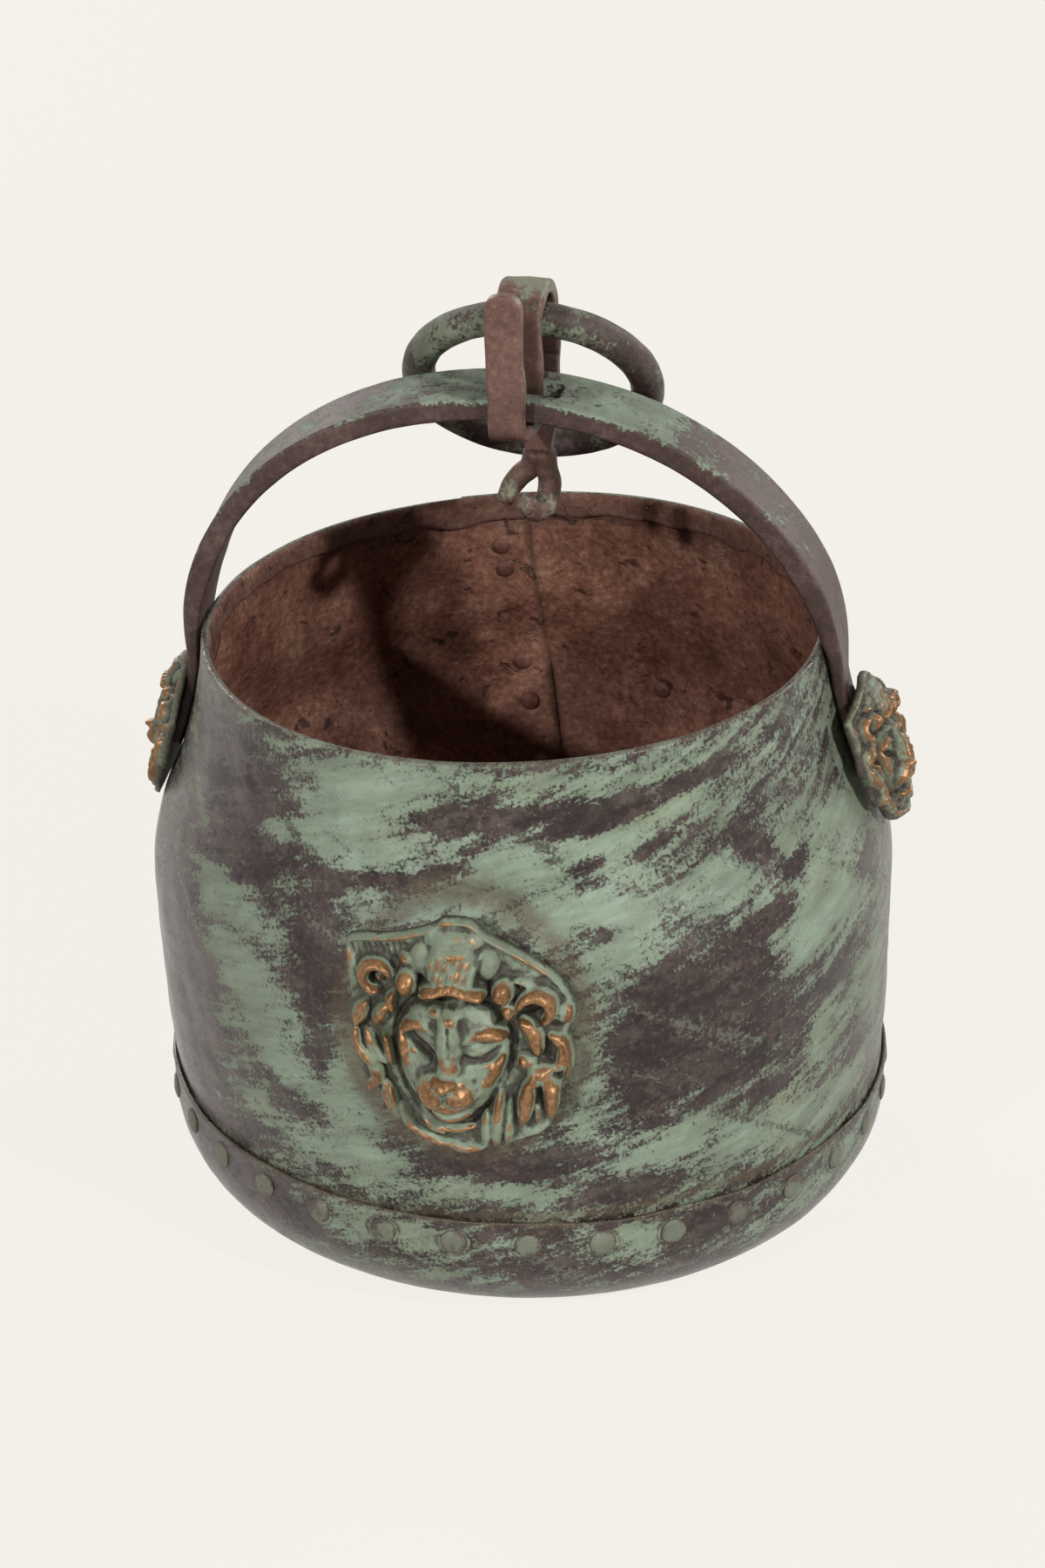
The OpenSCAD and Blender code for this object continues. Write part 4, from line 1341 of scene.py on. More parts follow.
@dataclass
class Rivets:
    """Every riveted joint: the pan's row, the seam's row, the one at the back and the bail's feet."""

    wall: Wall
    pan: Pan
    base_head: tuple[float, float] = (12.5, 1.5)
    seam_head: tuple[float, float] = (10.0, 2.6)
    bail_head: tuple[float, float] = (13.0, 3.0)
    seam_marks: tuple[float, ...] = (0.13, 0.27, 0.43, 0.54, 0.815, 0.875)
    seam_start: float = 182.0
    seam_width: float = 14.0
    back_turn: float = 165.0
    bail_drops: tuple[float, ...] = (33.0, 58.0)
    foot_t: float = 5.3

    def on_wall(self, turn: float, rise: float, lift: float, sunk: float,
                head: tuple[float, float]) -> list[RivetSpot]:
        """A head outside the wall and its hammered tail inside.

        Args:
            turn: degrees round the bucket.
            rise: height.
            lift: how far the head's seat is outside the wall's outer face.
            sunk: how far the tail's seat is inside the wall's inner face.
            head: width and height of the head.

        Returns:
            The two spots, leaned with the wall.
        """
        radius, slope = self.wall.at(rise)
        rad = math.radians(turn)
        flat = np.array([math.sin(rad), -math.cos(rad), 0.0])
        out = flat + np.array([0, 0, slope])
        out /= np.linalg.norm(out)
        stretch = self.wall.mouth_stretch * (1 + math.cos(2 * rad)) \
            * float(ease(np.array([rise]), self.wall.shoulder_h - 6, self.wall.rim_h)[0])
        middle = flat * (radius + stretch) + np.array([0, 0, rise])
        half = self.wall.sheet_t / 2
        ends = LEAN.place(np.array([middle + out * (half + lift), middle - out * (half + sunk),
                                    out * 100 + [0, 0, LEAN.pivot], [0, 0, LEAN.pivot]]))
        leaned = (ends[2] - ends[3]) / 100
        return [RivetSpot(ends[0], leaned, *head), RivetSpot(ends[1], -leaned, *head)]

    def base_row(self) -> list[RivetSpot]:
        """Heads round the pan and their tails inside the skirt.

        Returns:
            The spots outside and inside.
        """
        spots = []
        for k in range(self.pan.rivet_count):
            rad = math.radians(self.pan.rivet_phase + k * 360 / self.pan.rivet_count)
            out = np.array([math.sin(rad), -math.cos(rad), 0.0])
            seat = np.array([0, 0, self.pan.rivet_h])
            spots.append(RivetSpot(out * (PAN_R - 0.45) + seat, out, *self.base_head))
            spots.append(RivetSpot(out * (self.wall.skirt_r - 1.4) + seat, -out, *self.base_head))
        return spots

    def seam_row(self) -> list[RivetSpot]:
        """Heads along the lapped seam and the lone one beside it.

        Returns:
            The spots outside and inside.
        """
        spots = []
        for mark in self.seam_marks:
            rise = LEAN.pivot + mark * (self.wall.rim_h - LEAN.pivot)
            turn = self.seam_start + self.seam_width * (0.14 + 0.67 * mark)
            spots += self.on_wall(turn, rise, -0.2, self.wall.sheet_t - 0.2, self.seam_head)
        return spots + self.on_wall(self.back_turn, self.wall.belly_h + 5, -0.2, -0.2, self.seam_head)

    def bail_feet(self) -> list[RivetSpot]:
        """Heads on the bail's feet and their tails inside the wall."""
        return [spot for side in (-90, 90) for drop in self.bail_drops
                for spot in self.on_wall(side, self.wall.rim_h - drop, self.foot_t - 0.2, -0.2,
                                         self.bail_head)]

    def build(self, maker: RivetMaker, outside: bpy.types.Material,
              inside: bpy.types.Material) -> list[bpy.types.Object]:
        """Builds every head.

        Args:
            maker: the tree that makes heads.
            outside: finish of the heads outside.
            inside: finish of the tails inside.

        Returns:
            The pieces.
        """
        pieces = []
        base, seam, feet = self.base_row(), self.seam_row(), self.bail_feet()
        for name, spots, seed, finish, nodes, slot in (
                ("rivet_heads", base[::2] + seam[::2], 3, outside,
                 ("base_rivets", "seam_rivets", "back_rivet"), "rivet_iron"),
                ("rivet_tails", base[1::2] + seam[1::2] + feet[1::2], 5, inside, (), "rivet_iron"),
                ("bail_rivet_heads", feet[::2], 7, outside, ("bail_rivets",), "forged_iron")):
            piece = maker.make(name, spots, seed, finish)
            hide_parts(*nodes)
            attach(piece, "bucket")
            pieces.append(piece)
        return pieces


# ---------------------------------------------------------------- bail, strap, ring

@dataclass
class Bail:
    """Flat forged bail: an arch over the mouth whose feet are hammered thin on the wall."""

    wall: Wall
    rise: float = 115.0
    thick: float = 10.4
    foot_t: float = 5.0
    width: float = 40.0
    foot_w: float = 27.0
    foot_drop: float = 22.0
    foot_end: float = 70.0
    seat_gap: float = 0.3
    slot: tuple[float, float, float, float] = (9.0, -2.0, 33.0, 16.0)
    pit: tuple[float, float, float] = (41.0, -7.0, 1.6)
    fullness: tuple[float, float] = (2.18, 1.94)

    def wall_at(self, rise: Points) -> tuple[Points, Points]:
        """Outer radius of the wall and its slope at some heights."""
        radius, slope = self.wall.at(rise)
        return radius + self.wall.sheet_t / 2 * np.hypot(1, slope), np.arctan(slope)

    def path(self) -> Points:
        """Middle line from the left foot's end over the crown to the right foot's end.

        Returns:
            The line's points.
        """
        spring = self.wall.rim_h - self.foot_drop
        crown = self.wall.rim_h + self.rise
        half_b = crown - self.thick / 2 - spring
        half_a = float(self.wall_at(np.array([spring]))[0][0]) + self.seat_gap + self.foot_t / 2
        t = np.radians(np.linspace(90, 2, 90))
        left, right = (np.stack([half_a * np.cos(t) ** (2 / n), spring + half_b * np.sin(t) ** (2 / n)], 1)
                       for n in self.fullness)
        rise = np.linspace(spring - 1, self.wall.rim_h - self.foot_end, 14)
        out, tilt = self.wall_at(rise)
        off = self.seat_gap + self.foot_t / 2
        foot = np.stack([out + off * np.cos(tilt), rise + off * np.sin(tilt)], 1)
        left, right = np.vstack([left, foot]), np.vstack([right, foot])
        return resample(np.vstack([left[:0:-1] * (-1, 1), right]), 2.2)

    def build(self, finish: bpy.types.Material) -> bpy.types.Object:
        """Builds the bail, cuts its slot and dresses it.

        Args:
            finish: the forged iron.

        Returns:
            The bail.
        """
        path = self.path()
        spring, end = self.wall.rim_h - self.foot_drop, path[:, 1].min()
        z = path[:, 1]
        thick = self.foot_t + (self.thick - self.foot_t) * np.clip((z - spring) / 45, 0, 1)
        width = self.foot_w + (self.width - self.foot_w) * ease(z, spring - 4, spring + 34)
        tip = np.clip((z - end) / (self.foot_w / 2), 0, 1)
        width = width * np.sqrt(np.clip(1 - (1 - tip) ** 2, 0.004, 1))
        grid, side = swept_bar(path, width, thick, 1.5)
        grid = np.stack([grid[:, :, 1], -grid[:, :, 0], grid[:, :, 2]], 2)
        flat = grid.reshape(-1, 3)
        keep = (1 - ease(4 - np.abs(z - spring), 0, 4))[:, None]
        rough = waves(flat, 34, 12).reshape(side.shape) * 0.5 + waves(flat, 14, 13).reshape(side.shape) * 0.25
        shrink = 0.55 * (0.8 + 0.5 * rough) * ease(z, spring - 10, spring + 20)[:, None] * keep
        grid = drawn_in(grid, np.stack([path[:, 0], 0 * z, z], 1), shrink)
        up = np.clip(side, 0, 1)
        crown = self.wall.rim_h + self.rise
        x = grid[:, :, 0]
        bloom = -0.95 + 1.15 * up - 0.3 * (1 - ease(x, -80, -30)) * up - 0.5 * ease(x, 62, 112) * up
        bloom = bloom - 0.5 * (1 - ease(grid[:, :, 2], 290, 330)) + 0.3 * np.exp(-((x - 42) / 26) ** 2) * up
        across = np.abs(grid[:, :, 1]) / (self.width / 2)
        edge = np.clip(ease(across, 0.86, 0.97) * ease(np.abs(side), 0.6, 0.95), 0, 1) * 0.6
        slot_x, slot_y, slot_l, slot_w = self.slot
        near = np.hypot((x - slot_x) / slot_l, (grid[:, :, 1] - slot_y) / slot_w)
        stain_and_shade = np.exp(-(near / 0.75) ** 4) * up * 0.75 * (grid[:, :, 2] > crown - 40)
        skin = Skin(grid, cap_ends=True, values={"bloom": bloom, "edge": edge, "stain_and_shade": stain_and_shade})
        piece = skin.build("bail_bar", finish)
        self.cut_slot(piece, crown)
        self.lean(piece)
        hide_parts("bail")
        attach(piece, "bucket")
        return piece

    def cut_slot(self, piece: bpy.types.Object, crown: float) -> None:
        """Cuts the punched slot and one small pit through the crown.

        Args:
            piece: the bail, changed in place.
            crown: height of the bar at its crown.
        """
        slot_x, slot_y, slot_l, slot_w = self.slot
        corners = []
        for k, (x, y) in enumerate(((1, 1), (-1, 1), (-1, -1), (1, -1))):
            centre = (slot_x + x * (slot_l / 2 - 2.5), slot_y + y * (slot_w / 2 - 2.5))
            corners.append(arc(centre, 2.5, 90 * k, 90 * k + 90, 5))
        pit_x, pit_y, pit_r = self.pit
        for name, ring, low in (("slot_cutter", np.vstack(corners), crown - self.thick - 8),
                                ("pit_cutter", arc((pit_x, pit_y), pit_r, 0, 330, 11), crown - 9)):
            rows = [np.column_stack([ring, np.full(len(ring), h)]) for h in (low, crown + 6)]
            cutter = Skin(np.array(rows), cap_ends=True).build(name)
            cut = piece.modifiers.new(name, "BOOLEAN")
            cut.operation, cut.solver, cut.object = "DIFFERENCE", "EXACT", cutter
            mesh = worked_out(piece)
            piece.modifiers.clear()
            piece.data = mesh
            bpy.data.objects.remove(cutter)

    @staticmethod
    def lean(piece: bpy.types.Object) -> None:
        """Leans a finished mesh with the wall.

        Args:
            piece: the mesh, changed in place.
        """
        count = len(piece.data.vertices)
        flat = np.empty(count * 3, np.float32)
        piece.data.vertices.foreach_get("co", flat)
        leaned = LEAN.place(flat.reshape(-1, 3).astype(float) / MM) * MM
        piece.data.vertices.foreach_set("co", leaned.astype(np.float32).ravel())
        piece.data.update()


@dataclass
class HookStrap:
    """Flat strap hooked under the bail, up through its slot and over the ring, ending in two curls."""

    bail: Bail
    width: float = 23.0
    front_w: float = 17.5
    thick: float = 7.0
    off_x: float = 7.0
    yaw: float = 6.0
    loop_rise: float = 45.5
    tip_rise: float = 51.0
    tail_drop: float = 77.0
    ring_bar: float = 15.8
    ring_d: float = 123.0
    ring_play: float = 0.65
    fork_drop: float = 11.0
    fork_w: float = 14.0

    def __post_init__(self) -> None:
        """Works out the strap's main places from the bail and the ring."""
        wall, gap = self.bail.wall, self.bail.seat_gap
        self.crown = wall.rim_h + self.bail.rise
        arch = self.bail.path()
        half_a = arch[:, 0].max()
        half_b = self.crown - self.bail.thick / 2 - (wall.rim_h - self.bail.foot_drop)
        sag = half_b * (1 - math.sqrt(1 - ((self.off_x + self.width / 2 + 2) / half_a) ** 2))
        reach = self.width / 2 * math.sin(math.radians(self.yaw))
        self.edge_y = self.bail.width / 2 + reach + gap + self.thick / 2
        self.leg_y = self.bail.slot[1] - self.bail.slot[3] / 2 + self.thick / 2 + 2.6
        self.run_z = self.crown - self.bail.thick - sag - gap - self.thick / 2
        ring_r = (self.ring_d - self.ring_bar) / 2
        bar_sag = ring_r - math.sqrt(ring_r ** 2 - (self.width / 2) ** 2)
        self.loop_r = self.ring_bar / 2 + bar_sag + reach + self.ring_play + self.thick / 2
        self.loop_y = self.leg_y + self.loop_r
        self.loop_z = self.crown + self.loop_rise - self.loop_r - self.thick / 2
        self.fork_z = self.crown - self.tail_drop / 2 - self.fork_drop

    def turned(self, grid: Points) -> Points:
        """Points of the strap's own frame, turned, moved and leaned into place."""
        x, y = spun(grid[..., 0], grid[..., 1], -self.yaw)
        return LEAN.place(np.stack([x + self.off_x, y, grid[..., 2]], -1))

    def path(self) -> Points:
        """Middle line of the strap as (y, z), from the front tip to the tails.

        Returns:
            The line's points.
        """
        r = self.thick / 2 + 1
        loop_end = self.loop_y + self.loop_r
        return np.vstack([
            [(-self.edge_y, self.crown + self.tip_rise)],
            arc((-self.edge_y + r, self.run_z + r), r, 180, 270, 5),
            arc((self.leg_y - r, self.run_z + r), r, -90, 0, 5),
            arc((self.loop_y, self.loop_z), self.loop_r, 180, 0, 20),
            bend((loop_end, self.loop_z), (loop_end, self.crown + 20), (self.edge_y, self.crown + 20),
                 (self.edge_y, self.crown + 4), 8),
            [(self.edge_y, self.fork_z)]])

    def tail(self, points: Sequence[Sequence[float]], start_r: float, end_r: float,
             name: str) -> bpy.types.Object:
        """One curled round tail.

        Args:
            points: its middle line in the strap's own frame.
            start_r: radius at the strap.
            end_r: radius at its end.
            name: name of the mesh.

        Returns:
            The tail as an object.
        """
        line = smooth_line(points, 1.3)
        t = np.linspace(0, 1, len(line))
        radius = (start_r * (1 - t) + end_r * t) * (1 + 0.05 * waves(line, 16, 31))
        grid = self.turned(round_bar(line, radius, 24))
        rows = np.linspace(0, 1, len(grid))[:, None] + 0 * grid[:, :, 0]
        # painted shade on the first half of each tail, under the bail by the fork
        values = {"bloom": -0.3 + 0.3 * rows, "edge": 0.5 * ease(rows, 0.93, 1.0),
                  "stain_and_shade": 0.6 * (1 - ease(rows, 0.25, 0.75))}
        return Skin(grid, cap_ends=True, values=values).build(name)

    def build(self, finish: bpy.types.Material) -> bpy.types.Object:
        """Builds the strap and its tails as one forging and dresses it.

        Args:
            finish: the strap's iron.

        Returns:
            The strap.
        """
        path = resample(self.path(), 1.4)
        reach = reached(path)
        front = self.crown + self.tip_rise - self.run_z
        width = self.front_w + (self.width - 0.3 - self.front_w) * ease(reach, front - 6, front + 34)
        width = width - (self.width - self.fork_w) * ease(reach, reach[-1] - 34, reach[-1] - 10)
        tip_r = self.front_w * 0.36
        near = np.clip(reach / tip_r, 0, 1)
        width = width - 2 * tip_r * (1 - np.sqrt(np.clip(1 - (1 - near) ** 2, 0, 1)))
        thick = np.full(len(path), self.thick - 0.2)
        grid, side = swept_bar(path, width, thick, 1.5)
        rough = waves(grid.reshape(-1, 3), 17, 41).reshape(side.shape)
        grid = drawn_in(grid, np.concatenate([0 * path[:, :1], path], 1), 0.5 + 0.42 * rough)
        top = ease(grid[:, :, 2], self.crown + 28, self.crown + 44) * (reach[:, None] > front + 20)
        bloom = -1.0 + 1.15 * top + 0.25 * (reach[:, None] > front + 90)
        span = np.abs(grid[:, :, 0]) / (width[:, None] / 2)
        edge = ease(span, 0.8, 0.95) * 0.75 + 0.4 * (reach[:, None] < 2.5)
        # painted shade: darker where the strap passes beside the bail's crown and where it runs under the
        # bail
        low = np.exp(-((grid[:, :, 2] - self.crown) / 14) ** 2) * (reach[:, None] > front) * 0.7
        deep = np.exp(-((grid[:, :, 2] - self.run_z) / 8) ** 2) * 0.6
        skin = Skin(self.turned(grid), cap_ends=True,
                    values={"bloom": bloom, "edge": edge, "stain_and_shade": np.maximum(low, deep)})
        strap = skin.build("strap_bar")
        y, fork, low_z = self.edge_y, self.fork_z + 4, self.crown - self.tail_drop
        front_tail = self.tail(((2.5, y, fork + 2), (3.2, y + 0.3, fork - 5), (4.4, y + 0.4, low_z + 21),
                                (4.2, y - 1.0, low_z + 15.5), (3.0, y - 7, low_z + 10.5),
                                (0.6, y - 14, low_z + 11.5), (-1.6, y - 18.5, low_z + 17)),
                               5.6, 4.9, "front_curl")
        side_tail = self.tail(((-2.0, y, fork + 2), (-4.5, y + 0.8, fork - 5), (-9.0, y + 0.6, fork - 9),
                               (-13.0, y - 1.5, fork - 14), (-14.5, y - 6, fork - 18)),
                              5.4, 4.6, "side_curl")
        piece = joined("hook_strap_bar", [strap, front_tail, side_tail])
        piece.data.materials.append(finish)
        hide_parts("hook_strap")
        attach(piece, "bucket")
        return piece


@dataclass
class CarryingRing:
    """Loose ring of uneven round bar that hangs in the strap's loop."""

    strap: HookStrap
    hang: float = 36.3
    uneven: float = 0.55
    slid: float = -3.0
    smaller: float = 1.5

    def build(self, finish: bpy.types.Material) -> bpy.types.Object:
        """Builds the ring and dresses it.

        Args:
            finish: the ring's scale.

        Returns:
            The ring.
        """
        s = self.strap
        big, small = (s.ring_d - s.ring_bar) / 2 - self.smaller, s.ring_bar / 2
        a = np.linspace(0, 2 * math.pi, 220, endpoint=False)[:, None]
        b = np.linspace(0, 2 * math.pi, 40, endpoint=False)[None]
        spots = np.stack([big * np.sin(a) + small * np.cos(b), 0 * a + small * np.sin(b),
                          big * np.cos(a) + 0 * b], 2).reshape(-1, 3)
        rough = waves(spots, 38, 51) * 0.6 + waves(spots, 13, 52) * 0.4
        r = small - self.uneven * (0.5 + 0.4 * rough.reshape(a.size, b.size))
        radial = big + r * np.cos(b)
        x = radial * np.sin(a)
        y, z = spun(r * np.sin(b), radial * np.cos(a) - big, self.hang)
        yaw = math.radians(s.yaw)
        placed = np.stack([x + self.slid + s.off_x + s.loop_y * math.sin(yaw), y + s.loop_y * math.cos(yaw),
                           z + s.loop_z], 2)
        right = ease(x, 5, 60)
        # lower half of the ring: painted shade under the bail, and less green bloom
        low = ease(-np.cos(a) + 0 * b, -0.2, 0.9)
        outer = 0.5 - 0.5 * np.cos(b - 0.7) + 0 * a
        bloom = -0.12 - 0.4 * right * outer - 0.3 * low + 0.3 * (1 - right)
        skin = Skin(LEAN.place(placed), wrap_rows=True,
                    values={"bloom": bloom, "edge": 0 * bloom, "stain_and_shade": 0.25 * low})
        piece = skin.build("carrying_ring", finish)
        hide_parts("ring")
        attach(piece, "ring")
        return piece


# ---------------------------------------------------------------- lion masks

class Relief:
    """A relief cut on a raster: heights over a plate, in millimetres, built up and cut away."""

    STEP = 0.4
    SPAN = 62.0
    BLEND = 0.55

    def __init__(self, plate: float) -> None:
        """Starts with a flat plate.

        Args:
            plate: height of the plate.
        """
        line = np.arange(-self.SPAN, self.SPAN + self.STEP, self.STEP)
        self.u, self.v = np.meshgrid(line, line)
        self.line = line
        self.plate = plate
        self.height = np.full(self.u.shape, plate)
        self.wear = np.zeros(self.u.shape)

    def oval(self, u: float, v: float, ru: float, rv: float, turn: float) -> Points:
        """Square of the distance from an oval's middle, 1 at its edge."""
        du, dv = spun(self.u - u, self.v - v, -turn)
        return (du / ru) ** 2 + (dv / rv) ** 2

    def rub(self, u: float, v: float, ru: float, rv: float, amount: float, turn: float = 0.0) -> None:
        """Wears an oval place bright, or leaves it dark where amount is below zero."""
        self.wear += amount * np.exp(-self.oval(u, v, ru, rv, turn) ** 1.5)

    def raise_to(self, top: Points) -> None:
        """Keeps the higher of two heights, with a small fillet between them."""
        k = self.BLEND
        high, low = np.maximum(self.height, top), np.minimum(self.height, top)
        self.height = high + k * np.log1p(np.exp(np.clip((low - high) / k, -30, 0))) * (top > -5)

    def blob(self, u: float, v: float, ru: float, rv: float, top: float, turn: float = 0.0,
             round_off: float = 2.0, foot: Optional[float] = None) -> None:
        """Adds an oval lump.

        Args:
            u: middle across.
            v: middle up.
            ru: half size across.
            rv: half size up.
            top: its highest point over the wall.
            turn: degrees it is turned.
            round_off: 2 for an egg shape, more for a flatter top.
            foot: height of its edge, the plate unless given.
        """
        q = self.oval(u, v, ru, rv, turn)
        foot = self.plate if foot is None else foot
        shape = np.sqrt(np.clip(1 - q ** (round_off / 2), 0, 1))
        self.raise_to(np.where(q < 1, foot + (top - foot) * shape, -9))

    def slab(self, u: float, v: float, ru: float, rv: float, top: float, slope: float) -> None:
        """Adds a squarish lump whose top slopes with height.

        Args:
            u: middle across.
            v: middle up.
            ru: half size across.
            rv: half size up.
            top: height at its middle.
            slope: rise for each millimetre upwards.
        """
        q = np.abs((self.u - u) / ru) ** 3.4 + np.abs((self.v - v) / rv) ** 3.4
        crown = top + slope * (self.v - v) - 0.018 * (self.u - u) ** 2
        shape = np.clip(1 - q ** 2, 0, 1) ** 0.5
        self.raise_to(np.where(q < 1, self.plate + (crown - self.plate) * shape, -9))

    def near_line(self, points: Sequence[Sequence[float]]) -> tuple[Points, Points]:
        """Distance to a smooth line through points and how far along it, 0 to 1.

        Args:
            points: places that the line goes through.

        Returns:
            Both, for every point of the raster.
        """
        line = smooth_line(points, 1.2)
        best = np.full(self.u.shape, 1e9)
        along = np.zeros(self.u.shape)
        for k, (a, b) in enumerate(zip(line, line[1:])):
            d = b - a
            t = np.clip(((self.u - a[0]) * d[0] + (self.v - a[1]) * d[1]) / (d @ d), 0, 1)
            gap = np.hypot(self.u - a[0] - t * d[0], self.v - a[1] - t * d[1])
            closer = gap < best
            best[closer] = gap[closer]
            along[closer] = ((k + t) / (len(line) - 1))[closer]
        return best, along

    def lock(self, points: Sequence[Sequence[float]], half_w: float, top: float, tip: float = 0.35,
             parting: float = 0.0) -> None:
        """Adds a lock of hair or a fold along a line.

        Args:
            points: its middle line.
            half_w: half width at its fullest.
            top: its highest point.
            tip: share of the width that is left at its two ends.
            parting: depth of a groove along its middle.
        """
        gap, along = self.near_line(points)
        full = tip + (1 - tip) * np.sin(np.pi * np.clip(along, 0, 1)) ** 0.7
        q = gap / (half_w * full)
        shape = np.sqrt(np.clip(1 - q ** 2.2, 0, 1))
        crest = self.plate + (top - self.plate) * (0.72 + 0.28 * full)
        self.raise_to(np.where(q < 1, self.plate - 1 + (crest - self.plate + 1) * shape, -9))
        if parting:
            cut = np.exp(-(gap / 0.8) ** 2) * np.sin(np.pi * np.clip(along, 0, 1))
            self.height -= parting * cut

    def groove(self, points: Sequence[Sequence[float]], half_w: float, depth: float) -> None:
        """Cuts a groove along a line."""
        gap, _ = self.near_line(points)
        self.height -= depth * np.exp(-(gap / half_w) ** 2)

    def curl(self, u: float, v: float, radius: float, half_w: float, top: float, start: float,
             end: float) -> None:
        """Adds a round curl with a hollow eye, from start to end degrees.

        Args:
            u: place across.
            v: place upwards.
            radius: radius of the curl's middle line.
            half_w: half its width.
            top: its height.
            start: degrees where it starts.
            end: degrees where it ends.
        """
        gap = np.hypot(self.u - u, self.v - v)
        self.height -= 2.6 * np.exp(-(gap / (radius * 0.62)) ** 4)
        turns = np.radians(np.linspace(start, end, 9))
        self.lock([(u + radius * math.cos(t), v + radius * math.sin(t)) for t in turns], half_w, top, 0.55)

    def blurred(self, size: float) -> Points:
        """The heights after a soft blur of about size.

        Args:
            size: how far it spreads.

        Returns:
            The blurred heights.
        """
        n = self.height.shape[0]
        wave = np.fft.fftfreq(n, self.STEP)
        soft = np.exp(-2 * (np.pi * size) ** 2 * (wave[:, None] ** 2 + wave[None] ** 2))
        return np.real(np.fft.ifft2(np.fft.fft2(self.height) * soft))

    def sample(self, values: Points, u: Points, v: Points) -> Points:
        """Values read between the raster's points.

        Args:
            values: what the raster holds.
            u: places across.
            v: places upwards.

        Returns:
            Values at the places.
        """
        a = np.clip((u + self.SPAN) / self.STEP, 0, len(self.line) - 1.001)
        b = np.clip((v + self.SPAN) / self.STEP, 0, len(self.line) - 1.001)
        i, j = b.astype(int), a.astype(int)
        p, q = b - i, a - j
        return ((values[i, j] * (1 - q) + values[i, j + 1] * q) * (1 - p)
                + (values[i + 1, j] * (1 - q) + values[i + 1, j + 1] * q) * p)


def lion_relief(jaw_open: bool) -> Relief:
    """A lion's head in its mane, 100 wide, 114 high and 26 deep.

    Args:
        jaw_open: cuts the open mouth that the side masks have.

    Returns:
        The relief.
    """
    r = Relief(4.2)
    # head and muzzle
    r.blob(-2.5, -7, 25, 30, 13.5, round_off=2.6)
    r.blob(-2.5, 10, 21, 11, 13.2, round_off=2.4)
    r.blob(-4.9, -21.5, 13.8, 11.5, 22.0, round_off=2.4, foot=10)
    r.lock([(-2.4, 13), (-2.3, 4), (-2.8, -8), (-4.4, -17)], 7.4, 19.6, 0.85)
    r.blob(-4.6, -15.5, 6.2, 4.6, 25.8, foot=15)
    r.blob(-11.0, -22, 6.5, 6.0, 21.5, foot=12)
    r.blob(2.0, -23, 6.3, 6.0, 21.2, foot=12)
    r.blob(-3.4, -34, 9.5, 5.2, 15.5, foot=7)
    # cheeks and brows
    r.lock([(-24, 4), (-22, -8), (-17.5, -20)], 4.2, 12.5, 0.5)
    r.lock([(19.5, -6), (14, -15), (7.5, -25)], 4.8, 13.6, 0.5)
    r.lock([(-22.5, 6.8), (-16, 10.0), (-8.5, 6.3)], 4.1, 15.6, 0.55)
    r.lock([(3.2, 2.4), (11, 6.6), (20.5, 5.0)], 4.4, 16.0, 0.55)
    r.blob(-8, 16, 4.6, 3.6, 15.2)
    r.blob(2.2, 16.2, 4.2, 3.4, 14.6)
    # eyes, the fold between the brows, nostrils and lips
    r.groove([(-19.2, 2.6), (-14.6, -1.0), (-9.6, -6.6)], 2.5, 4.4)
    r.groove([(3.6, -5.4), (10.6, -6.6), (18.0, -2.4)], 2.0, 3.6)
    r.lock([(-20, -0.6), (-16.4, -5.2), (-10.5, -9.4)], 1.5, 12.6, 0.5)
    r.lock([(4.2, -8.8), (11, -10.0), (18.6, -6.0)], 1.5, 12.6, 0.5)
    r.blob(10.8, -6.0, 3.6, 1.4, 11.8, 8)
    r.groove([(-2.2, 11.5), (-2.1, 4), (-2.2, -2.5)], 0.8, 2.6)
    for side in (-1, 1):
        r.groove([(-4.6 + side * 2.2, -17.6), (-4.6 + side * 3.9, -16.6)], 0.9, 2.6)
        r.groove([(-4.6, -19.2), (-4.6, -23.5), (-4.6 + side * 5, -27), (-4.6 + side * 10.5, -26)], 0.8, 2.2)
    if jaw_open:
        r.blob(-3.4, -36, 11, 6, 17, foot=7)
        r.groove([(-11, -29.5), (-4, -31.5), (4, -29.5)], 3.6, 9.0)
    # forehead tuft with its combed lines and its rolled lower edge
    r.blob(-13.5, 38, 6.5, 9, 10.5)
    r.blob(13.5, 37, 6.5, 8, 10.5)
    r.blob(0, 48, 13, 5.5, 10.5)
    r.slab(-0.6, 37.0, 11.4, 11.4, 15.6, -0.26)
    r.lock([(-12.6, 26.6), (-7.5, 28.4), (-1, 30.6), (6, 28.2), (12.2, 26.0)], 4.0, 20.2, 0.75)
    for k in range(7):
        start = -10.2 + 3.3 * k
        r.groove([(start, 30.5), (start + 1.4, 36), (start + 3.4, 42.5)], 0.55, 1.7)
    # side bulbs, drop and bead beside the tuft
    r.blob(-20.8, 28.5, 5.8, 7.6, 16.2, -14)
    r.groove([(-24.5, 33), (-26, 27), (-24, 22)], 0.8, 1.6)
    r.blob(20.9, 26.0, 5.6, 6.8, 16.4, 8)
    r.blob(23.2, 17.0, 3.7, 4.6, 15.2)
    r.blob(-20.8, 39.0, 3.4, 2.9, 11.2)
    r.blob(-13.5, 21.2, 3.4, 3.0, 11.0)
    # curls and the scalloped knob on the rim
    r.curl(-34.1, 28.6, 6.6, 3.5, 13.8, 20, 265)
    r.curl(34.2, 16.6, 7.0, 4.0, 14.6, -55, 165)
    r.blob(-33.6, 28.0, 2.2, 2.2, 9.0)
    r.blob(46.0, 13.0, 4.8, 5.2, 10.6)
    for turn in (-50, -15, 20, 55):
        t = math.radians(turn)
        r.groove([(43, 13), (46 + 4.4 * math.cos(t), 13 + 4.4 * math.sin(t))], 0.5, 0.9)
